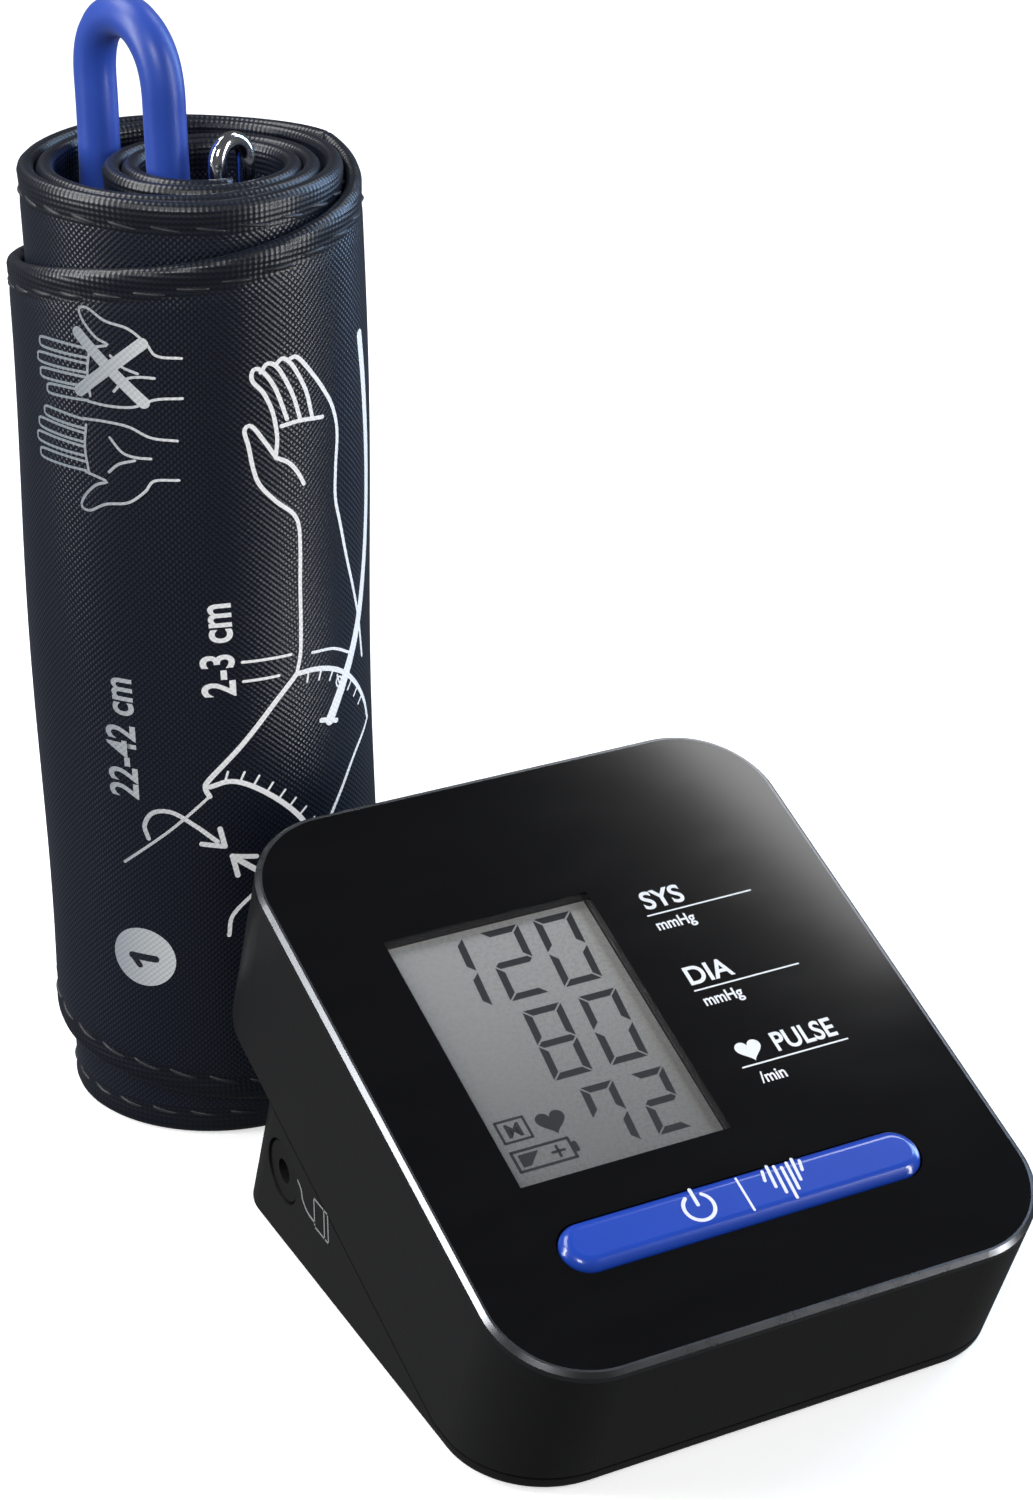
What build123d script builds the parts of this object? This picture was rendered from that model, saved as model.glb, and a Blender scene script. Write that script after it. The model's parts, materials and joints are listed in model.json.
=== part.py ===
from build123d import *
import os
from math import atan2, cos, degrees, hypot, pi, radians, sin, tan

# An upper-arm blood pressure cuff, rolled up for storage, and the desktop monitor that inflates and reads it.
# Millimetres. +X is the monitor's right, +Y its back and +Z up. The cuff stands on end behind the monitor.
# The origin is the middle of the footprint, on the surface that both stand on.

os.makedirs("parts", exist_ok=True)

# ---------------------------------------------------------------- driving sizes: monitor
FACE_WIDTH = 96.0  # the sloping face, across
FACE_LENGTH = 115.5  # the sloping face, from its front edge to its back edge
FACE_CORNER = 16.0
FACE_TILT = 21.3  # degrees, up towards the back
FRONT_HEIGHT = 28.8  # the face's front edge above the table
SLAB_DEPTH = 34.8  # the upper case, square to the face
LOWER_LENGTH = 92.0  # the lower case's back wall, measured along the face
LOWER_CORNER = 8.0
FRONT_LIP = 3.8  # top of the lower case's rim along the front
WALL = 2.2
SEAM = 0.5  # width and depth of the groove between the case halves
BASE_EDGE = 1.8  # rounding of the lower case's bottom edge

FACEPLATE = 1.8  # thickness of the glossy plate
TRIM = 1.1  # width of the rim round the plate
TRIM_EDGE = 0.7

WINDOW_WIDTH, WINDOW_HEIGHT = 37.0, 51.5
WINDOW_U, WINDOW_V = -13.9, 60.6  # middle of the display window on the face
LENS = 1.2
LENS_RECESS = 0.3
LCD_MARGIN = 2.2  # how far the display panel reaches past the window
LCD_PANEL = 2.5
LCD_GAP = 0.1
LCD_GLASS_DEPTH = 2.1  # the panel's glass stands up into the window, this far below the face

BUTTON_WIDTH, BUTTON_HEIGHT = 64.0, 9.4  # the opening that the rocker button fills
BUTTON_U, BUTTON_V = -0.3, 21.7
BUTTON_GAP = 0.3
BUTTON_PROUD = 1.4
BUTTON_ROUND = 1.9
BUTTON_FLANGE = 1.5  # how far the flange reaches past the opening, under the wall
FLANGE_DROP = 1.0  # free space between the flange and the wall, for the rocking
FLANGE_THICK = 1.2
SWITCH_REACH = 24.0  # each switch, from the button's pivot
SWITCH_TRAVEL = 0.6
PIVOT_RADIUS = 0.8
RUNNING = 0.05  # radial clearance of every running fit

BOARD = 1.6
BOARD_DEPTH = 10.4  # top of the circuit board below the face
BOARD_EDGE = 13.0  # the board's sides, in from the case's
BOARD_HALF = FACE_WIDTH / 2 - BOARD_EDGE
BOARD_FRONT, BOARD_BACK = 8.0, 95.0

FOOT_RADIUS, FOOT_HEIGHT, FOOT_RECESS = 5.0, 1.4, 0.6
FOOT_GAP = 0.1
SCREW_SIDES = {23.0: 9.5, 76.0: 8.6}  # distance back of each pair of screws, and in from the case's sides
FOOT_SIDES = {34.0: 8.5, 86.0: 8.5}  # the same of the feet
SCREW_SPOTS = [(side * (FACE_WIDTH / 2 - inset), back) for back, inset in SCREW_SIDES.items() for side in (-1, 1)]
FOOT_SPOTS = [(side * (FACE_WIDTH / 2 - inset), back) for back, inset in FOOT_SIDES.items() for side in (-1, 1)]
SCREW_RADIUS, SCREW_LENGTH = 1.3, 12.0
SCREW_HEAD_RADIUS, SCREW_HEAD = 2.3, 1.8
SCREW_SEAT = 9.0  # height of the shoulder that the screw heads pull on
POST_RADIUS, POST_TOP, BOSS_RADIUS = 3.8, 12.0, 3.2

# ---------------------------------------------------------------- driving sizes: batteries
CELL_RADIUS, CELL_BODY, CELL_TIP, CELL_TIP_RADIUS = 7.1, 49.2, 1.3, 2.7
CELL_COUNT = 4
CELL_PITCH = 15.0
CONTACT = 0.4
CONTACT_SPACE = 7.5  # room for a contact plate, a spring and the tip play, along a cell
BAY_X, BAY_FRONT = 3.0, 36.0  # middle of the bay across, and its front wall
BAY_WALL = 1.6
DOOR, DOOR_GAP = 2.0, 0.3
DOOR_TAB, DOOR_TAB_SPREAD = 10.0, 30.0
DOOR_PIVOT_RADIUS, DOOR_PIVOT_BACK = 1.0, 1.1
LATCH_WIDTH, LATCH_THICK, LATCH_HEIGHT = 10.0, 0.8, 2.2

# ---------------------------------------------------------------- driving sizes: air system
SOCKET_V, SOCKET_DEPTH = 78.0, 43.7  # middle of the air socket on the left wall
SOCKET_BORE, SOCKET_BORE_LENGTH = 2.15, 8.5
SOCKET_RADIUS, SOCKET_FLANGE_RADIUS, SOCKET_FLANGE, GASKET = 4.6, 5.65, 0.8, 0.4
SOCKET_SUNK, SOCKET_ROOM = 0.3, 0.15  # the flange below the wall's face, and free space round it
SOCKET_NIPPLE = 2.4
NIPPLE, NIPPLE_LENGTH = 1.35, 4.0
TUBE_RADIUS, TUBE_BORE, TUBE_BEND = 2.0, 1.4, 4.0
PUMP_RADIUS, PUMP_CAN, PUMP_HEAD, PUMP_WALL = 11.0, 28.0, 17.0, 1.4
PUMP_X, PUMP_Y, PUMP_Z = -10.0, 80.5, 32.6  # outlet end of the pump, and its axis
SHAFT_RADIUS, ROTOR_RADIUS, ROTOR_LENGTH = 1.0, 7.4, 16.0
MAGNET = 1.2
ECCENTRIC_RADIUS, ECCENTRIC_OFFSET, ECCENTRIC_LENGTH = 4.2, 1.6, 6.0
MANIFOLD_SIDE, MANIFOLD_WIDTH, MANIFOLD_FRONT, MANIFOLD_LENGTH = 16.4, 8.0, 78.0, 14.0
MANIFOLD_X = MANIFOLD_SIDE - FACE_WIDTH / 2  # its middle, in from the case's left side
MANIFOLD_BOTTOM, MANIFOLD_HEIGHT = 25.0, 10.0
VALVE_WIDTH, VALVE_LENGTH, VALVE_BACK, VALVE_Z = 12.0, 16.0, 70.0, 28.4
PLUNGER_RADIUS, PLUNGER_LENGTH, PLUNGER_INSET, PLUNGER_BORE = 2.5, 7.2, 0.8, 10.0
SENSOR, SENSOR_HEIGHT = 6.4, 4.0

# ---------------------------------------------------------------- driving sizes: cuff
CUFF_TURN = -27.3  # the roll's own axes against the monitor's, degrees
CUFF_HEIGHT = 171.5  # the band's width, upright in the roll
LAMINATE = 2.7  # two fabrics with the bladder between them
TAIL_THICK = 2.4  # two fabrics alone
BLADDER, BLADDER_MARGIN = 1.0, 14.0
WRAP_GAP = 0.4  # free space between two turns
WRAP_PITCH = LAMINATE + WRAP_GAP
CORE_RADIUS = 10.5  # free radius inside the first turn
CORE_OFFSET = 4.25  # the core's axis from the roll's axis
HOSE_RADIUS = 3.5
HOSE_POCKET = 2 * HOSE_RADIUS + 1.8  # free width of the pocket where the hose climbs between two turns
SPLIT_ANGLE = 150.0  # direction of the pocket; the half turns meet on this line
PAIRS = 5  # half turns to each side of that line
ROLL_REACH = CORE_RADIUS + CORE_OFFSET + LAMINATE / 2 + PAIRS * WRAP_PITCH
CUFF_X, CUFF_Y = -32.9, 120.4 + ROLL_REACH  # axis of the roll, so that the roll stays clear of the monitor
TAIL_START, FLAP_START, TAIL_END = 35.0, -200.0, -270.0  # directions round the roll, winding clockwise
TAIL_TAPER = 0.0018  # share of the width that the tail loses per millimetre
HOOK_THICK, HOOK_MARGIN = 1.0, 5.0
HOOK_START, HOOK_END = -212.0, -265.0
RING_WIRE, RING_SPREAD, RING_BOTTOM, RING_PROUD = 1.5, 6.4, 6.0, 6.0
RING_LEG_DIRECTION, RING_DIRECTION = -68.0, 50.0
SLEEVE, SLEEVE_MARGIN = 0.8, 2.0
STRIP_START = -62.0
PORT_Z, PORT_PIPE, PORT_RADIUS = 21.0, 2.0, 3.2
PORT_RISE = 7.0
PLUG_RADIUS, PLUG_LENGTH, NOZZLE_RADIUS, NOZZLE_LENGTH, COLLAR_RADIUS, COLLAR = 4.0, 22.0, 2.0, 8.0, 3.2, 1.5

# The hose's route in the roll's own axes, from the port, over the top and down the core, then up to the plug.
HOSE_ROUTE = [
    (-14.25, 8.25, 28.0), (-14.25, 8.25, 58.0), (-14.75, 7.40, 94.0), (-14.75, 7.40, 128.0),
    (-14.55, 7.75, 156.0), (-14.25, 8.20, 176.0),
    (-14.55, 8.60, 190.2), (-10.75, 4.10, 196.4), (-5.60, -2.00, 196.4), (-1.75, -6.45, 190.2),
    (-1.75, -6.00, 176.0), (-1.40, -5.75, 156.0), (-1.00, -5.45, 128.0), (-0.95, -5.40, 94.0),
    (-1.25, -5.65, 58.0), (-1.75, -6.00, 32.0), (-1.95, -6.10, 18.0),
    (-1.55, -5.85, 10.6), (1.30, -3.85, 7.0), (6.05, -0.50, 7.0), (8.90, 1.50, 10.6),
    (9.30, 1.80, 18.0), (9.10, 2.10, 32.0), (8.10, 3.00, 58.0), (6.90, 3.50, 84.0), (6.10, 3.60, 104.0),
]

# ---------------------------------------------------------------- frames and small builders
FACE = Plane(
    origin=(0, 0, FRONT_HEIGHT),
    x_dir=(1, 0, 0),
    z_dir=(0, -sin(radians(FACE_TILT)), cos(radians(FACE_TILT))),
)
FAR = 400.0  # longer than anything here, for cutting solids
BASE = FOOT_HEIGHT - FOOT_RECESS  # underside of the lower case
nodes = {}


def on_face(u, v, depth):
    """A point given across the face, up the face and below it."""
    return FACE.from_local_coords(Vector(u, v, -depth))


def face_plate(sketch, u, v, top, bottom):
    """A flat sketch on the face, made solid between two depths."""
    return FACE.location * (Pos(u, v, -bottom) * extrude(sketch, bottom - top))


def case_prism(inset, top, bottom, length=FACE_LENGTH, corner=FACE_CORNER):
    """The case's outline, drawn in by inset, between two depths below the face."""
    outline = RectangleRounded(FACE_WIDTH - 2 * inset, length - 2 * inset, corner - inset)
    return face_plate(outline, 0, length / 2, top, bottom)


def lower_prism(inset):
    """The lower case's outline: the face's own corners in front and tighter ones at its back wall."""
    front = case_prism(inset, 0, FAR)
    back_length = LOWER_LENGTH + FACE_LENGTH
    outline = RectangleRounded(FACE_WIDTH - 2 * inset, back_length - 2 * inset, LOWER_CORNER - inset)
    return front & face_plate(outline, 0, LOWER_LENGTH - back_length / 2, 0, FAR)


def over(z):
    """Everything above a height."""
    return Pos(0, 0, z + FAR) * Box(2 * FAR, 2 * FAR, 2 * FAR)


def shallower(depth):
    """Everything nearer the face than a depth."""
    return FACE.location * (Pos(0, 0, FAR - depth) * Box(2 * FAR, 2 * FAR, 2 * FAR))


def box_between(low, high):
    """A box from its lowest corner to its highest."""
    size = [b - a for a, b in zip(low, high)]
    return Pos(*[(a + b) / 2 for a, b in zip(low, high)]) * Box(*size)


def rod(start, end, radius):
    """A round bar between two points."""
    start, end = Vector(*start), Vector(*end)
    return extrude(Plane(origin=start, z_dir=(end - start)) * Circle(radius), (end - start).length)


def pipe(points, radius, bore, bend):
    """A soft tube along straight runs with round bends."""
    if len(points) == 2:
        return rod(*points, radius) - rod(*points, bore)
    path = FilletPolyline(*[Vector(*p) for p in points], radius=bend)
    start = Plane(origin=path @ 0, z_dir=path % 0)
    return sweep(start * (Circle(radius) - Circle(bore)), path=path)


def together(shapes):
    """Several solids as one node."""
    return Compound(children=[solid for shape in shapes for solid in shape.solids()])


# ---------------------------------------------------------------- monitor: cases
def upper_case():
    """The upper shell: face wall, side walls, the closed overhang at the back, bosses and button ears."""
    shell = case_prism(0, FACEPLATE, SLAB_DEPTH) & over(FRONT_LIP)
    overhang = LOWER_LENGTH - WALL
    hollow = case_prism(WALL, FACEPLATE + WALL, SLAB_DEPTH - WALL)
    mouth = case_prism(WALL, FACEPLATE + WALL, SLAB_DEPTH + 1) - face_plate(
        Rectangle(2 * FACE_WIDTH, FACE_LENGTH), 0, overhang + FACE_LENGTH / 2, 0, FAR)
    shell -= hollow + mouth
    bosses = [rod((x, y, POST_TOP + 0.2), (x, y, FAR), BOSS_RADIUS) for x, y in SCREW_SPOTS]
    room = case_prism(WALL, FACEPLATE + WALL / 2, FAR)
    for boss in bosses:
        shell += boss & room
    ear_depth = button_pivot_depth() + PIVOT_RADIUS + 1.2
    for side in (-1, 1):
        ear_v = BUTTON_V + side * (BUTTON_HEIGHT / 2 + BUTTON_FLANGE + 1.3)
        shell += face_plate(Rectangle(4.8, 1.8), BUTTON_U, ear_v, FACEPLATE + WALL / 2, ear_depth)
    shell -= pivot_rod(PIVOT_RADIUS + RUNNING, 3.2)
    shell -= face_plate(Rectangle(WINDOW_WIDTH, WINDOW_HEIGHT), WINDOW_U, WINDOW_V, 0, FACEPLATE + 2 * WALL)
    shell -= face_plate(SlotOverall(BUTTON_WIDTH, BUTTON_HEIGHT), BUTTON_U, BUTTON_V, 0, FACEPLATE + WALL)
    for x, y in SCREW_SPOTS:
        shell -= rod((x, y, POST_TOP), (x, y, SCREW_SEAT + SCREW_LENGTH + 2), SCREW_RADIUS)
    return shell


def lower_case():
    """The lower shell: floor, walls, seam groove, battery bay, screw posts and the valve's shelf."""
    keep = shallower(SLAB_DEPTH) & over(FRONT_LIP)
    shell = (lower_prism(0) & over(BASE)) - keep
    shell = fillet(shell.faces().sort_by(Axis.Z)[0].edges(), BASE_EDGE)
    shell -= lower_prism(WALL) & over(BASE + WALL)
    near_seam = shallower(SLAB_DEPTH + SEAM) & over(FRONT_LIP - SEAM)
    shell -= near_seam - lower_prism(SEAM)
    low, high = bay_box()
    shell += box_between((low[0] - BAY_WALL, low[1] - BAY_WALL, BASE + WALL / 2),
                         (high[0] + BAY_WALL, high[1] + BAY_WALL, high[2] + BAY_WALL))
    shell -= box_between((low[0], low[1], BASE - 1), high)
    for x in door_tab_places():
        slot = DOOR_TAB / 2 + DOOR_GAP
        swing = hypot(DOOR_PIVOT_BACK, DOOR) + DOOR_GAP
        shell -= box_between((x - slot, door_pivot_y() - swing, BASE - 1),
                             (x + slot, BAY_FRONT + 0.1, BASE + DOOR_PIVOT_RADIUS + swing))
    inside = lower_prism(WALL / 2)
    for x, y in SCREW_SPOTS:
        shell += rod((x, y, BASE + WALL / 2), (x, y, POST_TOP), POST_RADIUS) & inside
        shell -= rod((x, y, BASE - 1), (x, y, SCREW_SEAT), SCREW_HEAD_RADIUS + 0.3)
        shell -= rod((x, y, BASE), (x, y, POST_TOP + 1), SCREW_RADIUS + 0.2)
    for x, y in FOOT_SPOTS:
        shell -= rod((x, y, BASE - 1), (x, y, BASE + FOOT_RECESS), FOOT_RADIUS + FOOT_GAP)
    shell += box_between((MANIFOLD_X - VALVE_WIDTH / 2 + 1, valve_front() + 2, BASE + WALL / 2),
                         (MANIFOLD_X + 3, VALVE_BACK - 2, VALVE_Z - VALVE_WIDTH / 2))
    for x in (PUMP_X + PUMP_HEAD / 2, PUMP_X + PUMP_HEAD + PUMP_CAN * 0.6):
        saddle = box_between((x - 2, PUMP_Y - PUMP_RADIUS * 0.8, high[2] + BAY_WALL / 2),
                             (x + 2, PUMP_Y + PUMP_RADIUS * 0.8, PUMP_Z - PUMP_RADIUS * 0.7))
        shell += saddle - rod((x - 3, PUMP_Y, PUMP_Z), (x + 3, PUMP_Y, PUMP_Z), PUMP_RADIUS + RUNNING)
    y, z = socket_place()
    shell -= rod((-FACE_WIDTH, y, z), (-FACE_WIDTH / 2 + 2 * WALL, y, z), SOCKET_RADIUS)
    shell -= rod((-FACE_WIDTH, y, z), (socket_seat(), y, z), SOCKET_FLANGE_RADIUS + SOCKET_ROOM)
    return shell


def case_screws():
    """Four self-tapping screws, driven from below."""
    screws = []
    for x, y in SCREW_SPOTS:
        head = rod((x, y, SCREW_SEAT - SCREW_HEAD), (x, y, SCREW_SEAT), SCREW_HEAD_RADIUS)
        head -= box_between((x - 1.5, y - 0.3, 0), (x + 1.5, y + 0.3, SCREW_SEAT - SCREW_HEAD + 0.9))
        head -= box_between((x - 0.3, y - 1.5, 0), (x + 0.3, y + 1.5, SCREW_SEAT - SCREW_HEAD + 0.9))
        screws.append(head + rod((x, y, SCREW_SEAT), (x, y, SCREW_SEAT + SCREW_LENGTH), SCREW_RADIUS))
    return together(screws)


def rubber_feet():
    """Four round feet in shallow pockets."""
    feet = []
    for x, y in FOOT_SPOTS:
        foot = rod((x, y, 0), (x, y, FOOT_HEIGHT), FOOT_RADIUS)
        feet.append(fillet(foot.edges().sort_by(Axis.Z)[0], 0.5))
    return together(feet)


# ---------------------------------------------------------------- monitor: face
def faceplate():
    """The glossy plate, open for the display window and the button."""
    plate = case_prism(TRIM, 0, FACEPLATE)
    plate -= face_plate(Rectangle(WINDOW_WIDTH, WINDOW_HEIGHT), WINDOW_U, WINDOW_V, -1, FACEPLATE + 1)
    return plate - face_plate(SlotOverall(BUTTON_WIDTH, BUTTON_HEIGHT), BUTTON_U, BUTTON_V, -1, FACEPLATE + 1)


def trim_rim():
    """The bevelled rim that frames the plate."""
    block = case_prism(0, 0, FACEPLATE)
    top = block.faces().sort_by(Axis(FACE.origin, FACE.z_dir))[-1]
    return chamfer(top.edges(), TRIM_EDGE) - case_prism(TRIM, -1, FACEPLATE + 1)


def window_sketch(margin):
    """The display window's outline, grown by a margin."""
    return Rectangle(WINDOW_WIDTH + 2 * margin, WINDOW_HEIGHT + 2 * margin)


def lcd_top():
    """Depth of the display panel's front."""
    return FACEPLATE + WALL + LCD_GAP


def display_panel():
    """The liquid crystal panel, with its glass standing up into the window."""
    panel = face_plate(window_sketch(LCD_MARGIN), WINDOW_U, WINDOW_V, lcd_top(), lcd_top() + LCD_PANEL)
    return panel + face_plate(window_sketch(-0.15), WINDOW_U, WINDOW_V, LCD_GLASS_DEPTH, lcd_top() + 1)


def lcd_carrier():
    """The frame that holds the display panel over the circuit board."""
    top = lcd_top() + LCD_PANEL
    frame = face_plate(window_sketch(LCD_MARGIN + 1), WINDOW_U, WINDOW_V, top, BOARD_DEPTH)
    return frame - face_plate(window_sketch(-2), WINDOW_U, WINDOW_V, top - 1, BOARD_DEPTH + 1)


# ---------------------------------------------------------------- monitor: rocker button
def flange_top():
    """Depth of the button flange's top, with the free space for the rocking."""
    return FACEPLATE + WALL + FLANGE_DROP


def button_pivot_depth():
    """Depth of the rocker's pivot."""
    return flange_top() + FLANGE_THICK / 2


def pivot_rod(radius, reach):
    """A bar along the rocker's pivot, reaching past the flange on both sides."""
    half = BUTTON_HEIGHT / 2 + BUTTON_FLANGE + reach
    depth = button_pivot_depth()
    return rod(on_face(BUTTON_U, BUTTON_V - half, depth), on_face(BUTTON_U, BUTTON_V + half, depth), radius)


def start_button():
    """The pill-shaped rocker: domed cap, flange, pivot pins and a stem over each switch."""
    cap_width, cap_height = BUTTON_WIDTH - 2 * BUTTON_GAP, BUTTON_HEIGHT - 2 * BUTTON_GAP
    cap = face_plate(SlotOverall(cap_width, cap_height), BUTTON_U, BUTTON_V, -BUTTON_PROUD, flange_top())
    top = cap.faces().sort_by(Axis(FACE.origin, FACE.z_dir))[-1]
    cap = fillet(top.edges(), min(BUTTON_ROUND, cap_height * 0.4))
    flange = SlotOverall(BUTTON_WIDTH + 2 * BUTTON_FLANGE, BUTTON_HEIGHT + 2 * BUTTON_FLANGE)
    bottom = flange_top() + FLANGE_THICK
    cap += face_plate(flange, BUTTON_U, BUTTON_V, flange_top(), bottom)
    cap += pivot_rod(PIVOT_RADIUS, 2.0)
    for side in (-1, 1):
        cap += face_plate(Circle(1.5), BUTTON_U + side * SWITCH_REACH, BUTTON_V, bottom - 0.1, stem_end())
    return cap


def stem_end():
    """Depth of the stems' ends, just over the switches."""
    return BOARD_DEPTH - 1.6 - SWITCH_TRAVEL


def tact_switches():
    """Two small push switches on the circuit board, one under each half of the button."""
    switches = []
    for side in (-1, 1):
        place = BUTTON_U + side * SWITCH_REACH, BUTTON_V
        body = face_plate(Rectangle(6, 6), *place, BOARD_DEPTH - 1.2, BOARD_DEPTH)
        switches.append(body + face_plate(Circle(1.5), *place, BOARD_DEPTH - 1.6, BOARD_DEPTH - 1.1))
    return together(switches)


# ---------------------------------------------------------------- monitor: electronics and batteries
def circuit_board():
    """The board, parallel to the face."""
    outline = RectangleRounded(2 * BOARD_HALF, BOARD_BACK - BOARD_FRONT, 3)
    return face_plate(outline, 0, (BOARD_FRONT + BOARD_BACK) / 2, BOARD_DEPTH, BOARD_DEPTH + BOARD)


def board_chips():
    """The controller and two smaller chips under the board."""
    under = BOARD_DEPTH + BOARD
    return together([
        face_plate(Rectangle(12, 12), 12, 58, under, under + 1.4),
        face_plate(Rectangle(6, 5), -8, 52, under, under + 1.2),
        face_plate(Rectangle(9, 4), 14, 34, under, under + 1.2),
    ])


def bay_box():
    """Lowest and highest corners of the battery bay's free space."""
    half = (CELL_BODY + CELL_TIP + CONTACT_SPACE) / 2
    top = cell_height() + CELL_RADIUS + 0.8
    return (BAY_X - half, BAY_FRONT, BASE), (BAY_X + half, BAY_FRONT + CELL_COUNT * CELL_PITCH, top)


def cell_height():
    """Height of the cells' axes, just over the battery door."""
    return BASE + DOOR + DOOR_GAP + 0.3 + CELL_RADIUS


def cell_places():
    """Each cell's Y and the end that its tip points to."""
    return [(BAY_FRONT + CELL_PITCH * (i + 0.5), 1 if i % 2 else -1) for i in range(CELL_COUNT)]


def cell_ends(tip_side):
    """X of a cell's tip end, of its shoulder and of its flat end."""
    low, high = bay_box()
    tip = (high[0] if tip_side > 0 else low[0]) - tip_side * (CONTACT + 0.15)
    shoulder = tip - tip_side * CELL_TIP
    return tip, shoulder, shoulder - tip_side * CELL_BODY


def battery_cells():
    """Four AA cells, head to tail."""
    z, cells = cell_height(), []
    for y, side in cell_places():
        tip, shoulder, flat = cell_ends(side)
        body = rod((flat, y, z), (shoulder, y, z), CELL_RADIUS)
        body = fillet(body.edges().filter_by(GeomType.CIRCLE), 0.6)
        cells.append(body + rod((shoulder - side * 0.2, y, z), (tip, y, z), CELL_TIP_RADIUS))
    return together(cells)


def battery_contacts():
    """A plate at each end of each cell."""
    low, high = bay_box()
    z, plates = cell_height(), []
    for y, _ in cell_places():
        for x in (low[0], high[0] - CONTACT):
            plates.append(box_between((x, y - 5, z - 5), (x + CONTACT, y + 5, z + 5)))
    return together(plates)


def battery_springs():
    """A coil spring behind each cell's flat end."""
    low, high = bay_box()
    wire, z, springs = 0.4, cell_height(), []
    for y, side in cell_places():
        plate = (low[0] + CONTACT) if side > 0 else (high[0] - CONTACT)
        room = abs(cell_ends(side)[2] - plate)
        helix = Helix(pitch=1.5, height=room - 2 * wire - 0.1, radius=3.0)
        coil = sweep(Plane(origin=helix @ 0, z_dir=helix % 0) * Circle(wire), path=helix)
        springs.append(Pos(plate + side * (wire + 0.05), y, z) * Rot(0, 90 * side, 0) * coil)
    return together(springs)


def door_pivot_y():
    """Y of the battery door's pivot, just in front of the bay."""
    return BAY_FRONT - DOOR_PIVOT_BACK


def door_tab_places():
    """X of each hinge tab."""
    return [BAY_X - DOOR_TAB_SPREAD / 2, BAY_X + DOOR_TAB_SPREAD / 2]


def battery_door():
    """The door under the bay, with two hinge tabs in front and a latch tongue at the back."""
    low, high = bay_box()
    door = box_between((low[0] + DOOR_GAP, low[1] + 2 * DOOR_GAP, BASE),
                       (high[0] - DOOR_GAP, high[1] - DOOR_GAP, BASE + DOOR))
    pivot_z = BASE + DOOR_PIVOT_RADIUS
    for x in door_tab_places():
        half = DOOR_TAB / 2
        door += box_between((x - half, door_pivot_y(), BASE), (x + half, low[1] + 1, BASE + DOOR))
        door += rod((x - half, door_pivot_y(), pivot_z), (x + half, door_pivot_y(), pivot_z), DOOR_PIVOT_RADIUS)
    back = high[1] - DOOR_GAP - 0.1
    door += box_between((BAY_X - LATCH_WIDTH / 2, back - LATCH_THICK, BASE + DOOR / 2),
                        (BAY_X + LATCH_WIDTH / 2, back, BASE + DOOR + LATCH_HEIGHT))
    grip = [BAY_X - 9 + 3.0 * i for i in range(7)]
    for x in grip:
        door -= box_between((x - 0.6, high[1] - 12, BASE - 1), (x + 0.6, high[1] - 5, BASE + 0.5))
    return door


# ---------------------------------------------------------------- monitor: air system
def socket_place():
    """Y and Z of the air socket's axis."""
    place = on_face(0, SOCKET_V, SOCKET_DEPTH)
    return place.Y, place.Z


def air_socket():
    """The flanged socket in the left wall that the cuff's plug pushes into."""
    y, z = socket_place()
    face = socket_mouth()
    inner = face + SOCKET_BORE_LENGTH
    socket = rod((face, y, z), (face + SOCKET_FLANGE, y, z), SOCKET_FLANGE_RADIUS)
    socket = chamfer(socket.edges().filter_by(GeomType.CIRCLE).sort_by(Axis.X)[0], 0.4)
    socket += rod((face, y, z), (inner + 1, y, z), SOCKET_RADIUS - RUNNING)
    socket += rod((inner, y, z), (inner + 1 + SOCKET_NIPPLE, y, z), NIPPLE)
    socket -= rod((face - 1, y, z), (inner, y, z), SOCKET_BORE)
    return socket - rod((inner - 1, y, z), (inner + 9, y, z), NIPPLE / 2)


def socket_mouth():
    """X of the socket's outer face, a little below the wall's."""
    return -FACE_WIDTH / 2 + SOCKET_SUNK


def socket_seat():
    """X of the floor of the round recess that the flange and its gasket lie in."""
    return socket_mouth() + SOCKET_FLANGE + GASKET


def socket_gasket():
    """The soft ring between the socket's flange and the floor of its recess."""
    y, z = socket_place()
    ends = (socket_seat() - GASKET, y, z), (socket_seat(), y, z)
    return rod(*ends, SOCKET_FLANGE_RADIUS - 0.2) - rod(*ends, SOCKET_RADIUS)


def along_pump(x0, x1, radius, offset=0.0):
    """A round bar on the pump's axis, measured from its outlet end."""
    z = PUMP_Z + offset
    return rod((PUMP_X + x0, PUMP_Y, z), (PUMP_X + x1, PUMP_Y, z), radius)


def pump_motor_can():
    """The motor's steel can with a bearing hole in each end."""
    can = along_pump(PUMP_HEAD, PUMP_HEAD + PUMP_CAN, PUMP_RADIUS)
    can -= along_pump(PUMP_HEAD + PUMP_WALL, PUMP_HEAD + PUMP_CAN - PUMP_WALL, PUMP_RADIUS - PUMP_WALL)
    return can - along_pump(PUMP_HEAD - 1, PUMP_HEAD + PUMP_CAN + 1, SHAFT_RADIUS + RUNNING)


def pump_head():
    """The pump's plastic head: a chamber for the eccentric and an outlet nipple."""
    head = along_pump(0, PUMP_HEAD, PUMP_RADIUS) + along_pump(-NIPPLE_LENGTH, 0, NIPPLE)
    head -= along_pump(3, PUMP_HEAD + 1, PUMP_RADIUS - 2.5)
    return head - along_pump(-9, 4, NIPPLE / 2)


def pump_magnets():
    """Two curved magnets inside the can."""
    start = PUMP_HEAD + (PUMP_CAN - ROTOR_LENGTH) / 2
    outer = PUMP_RADIUS - PUMP_WALL
    ring = along_pump(start, start + ROTOR_LENGTH, outer) - along_pump(start, start + ROTOR_LENGTH, outer - MAGNET)
    gap = Pos(PUMP_X + start, PUMP_Y, PUMP_Z) * Box(4 * ROTOR_LENGTH, 6, 3 * PUMP_RADIUS)
    return together([ring - gap])


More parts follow.
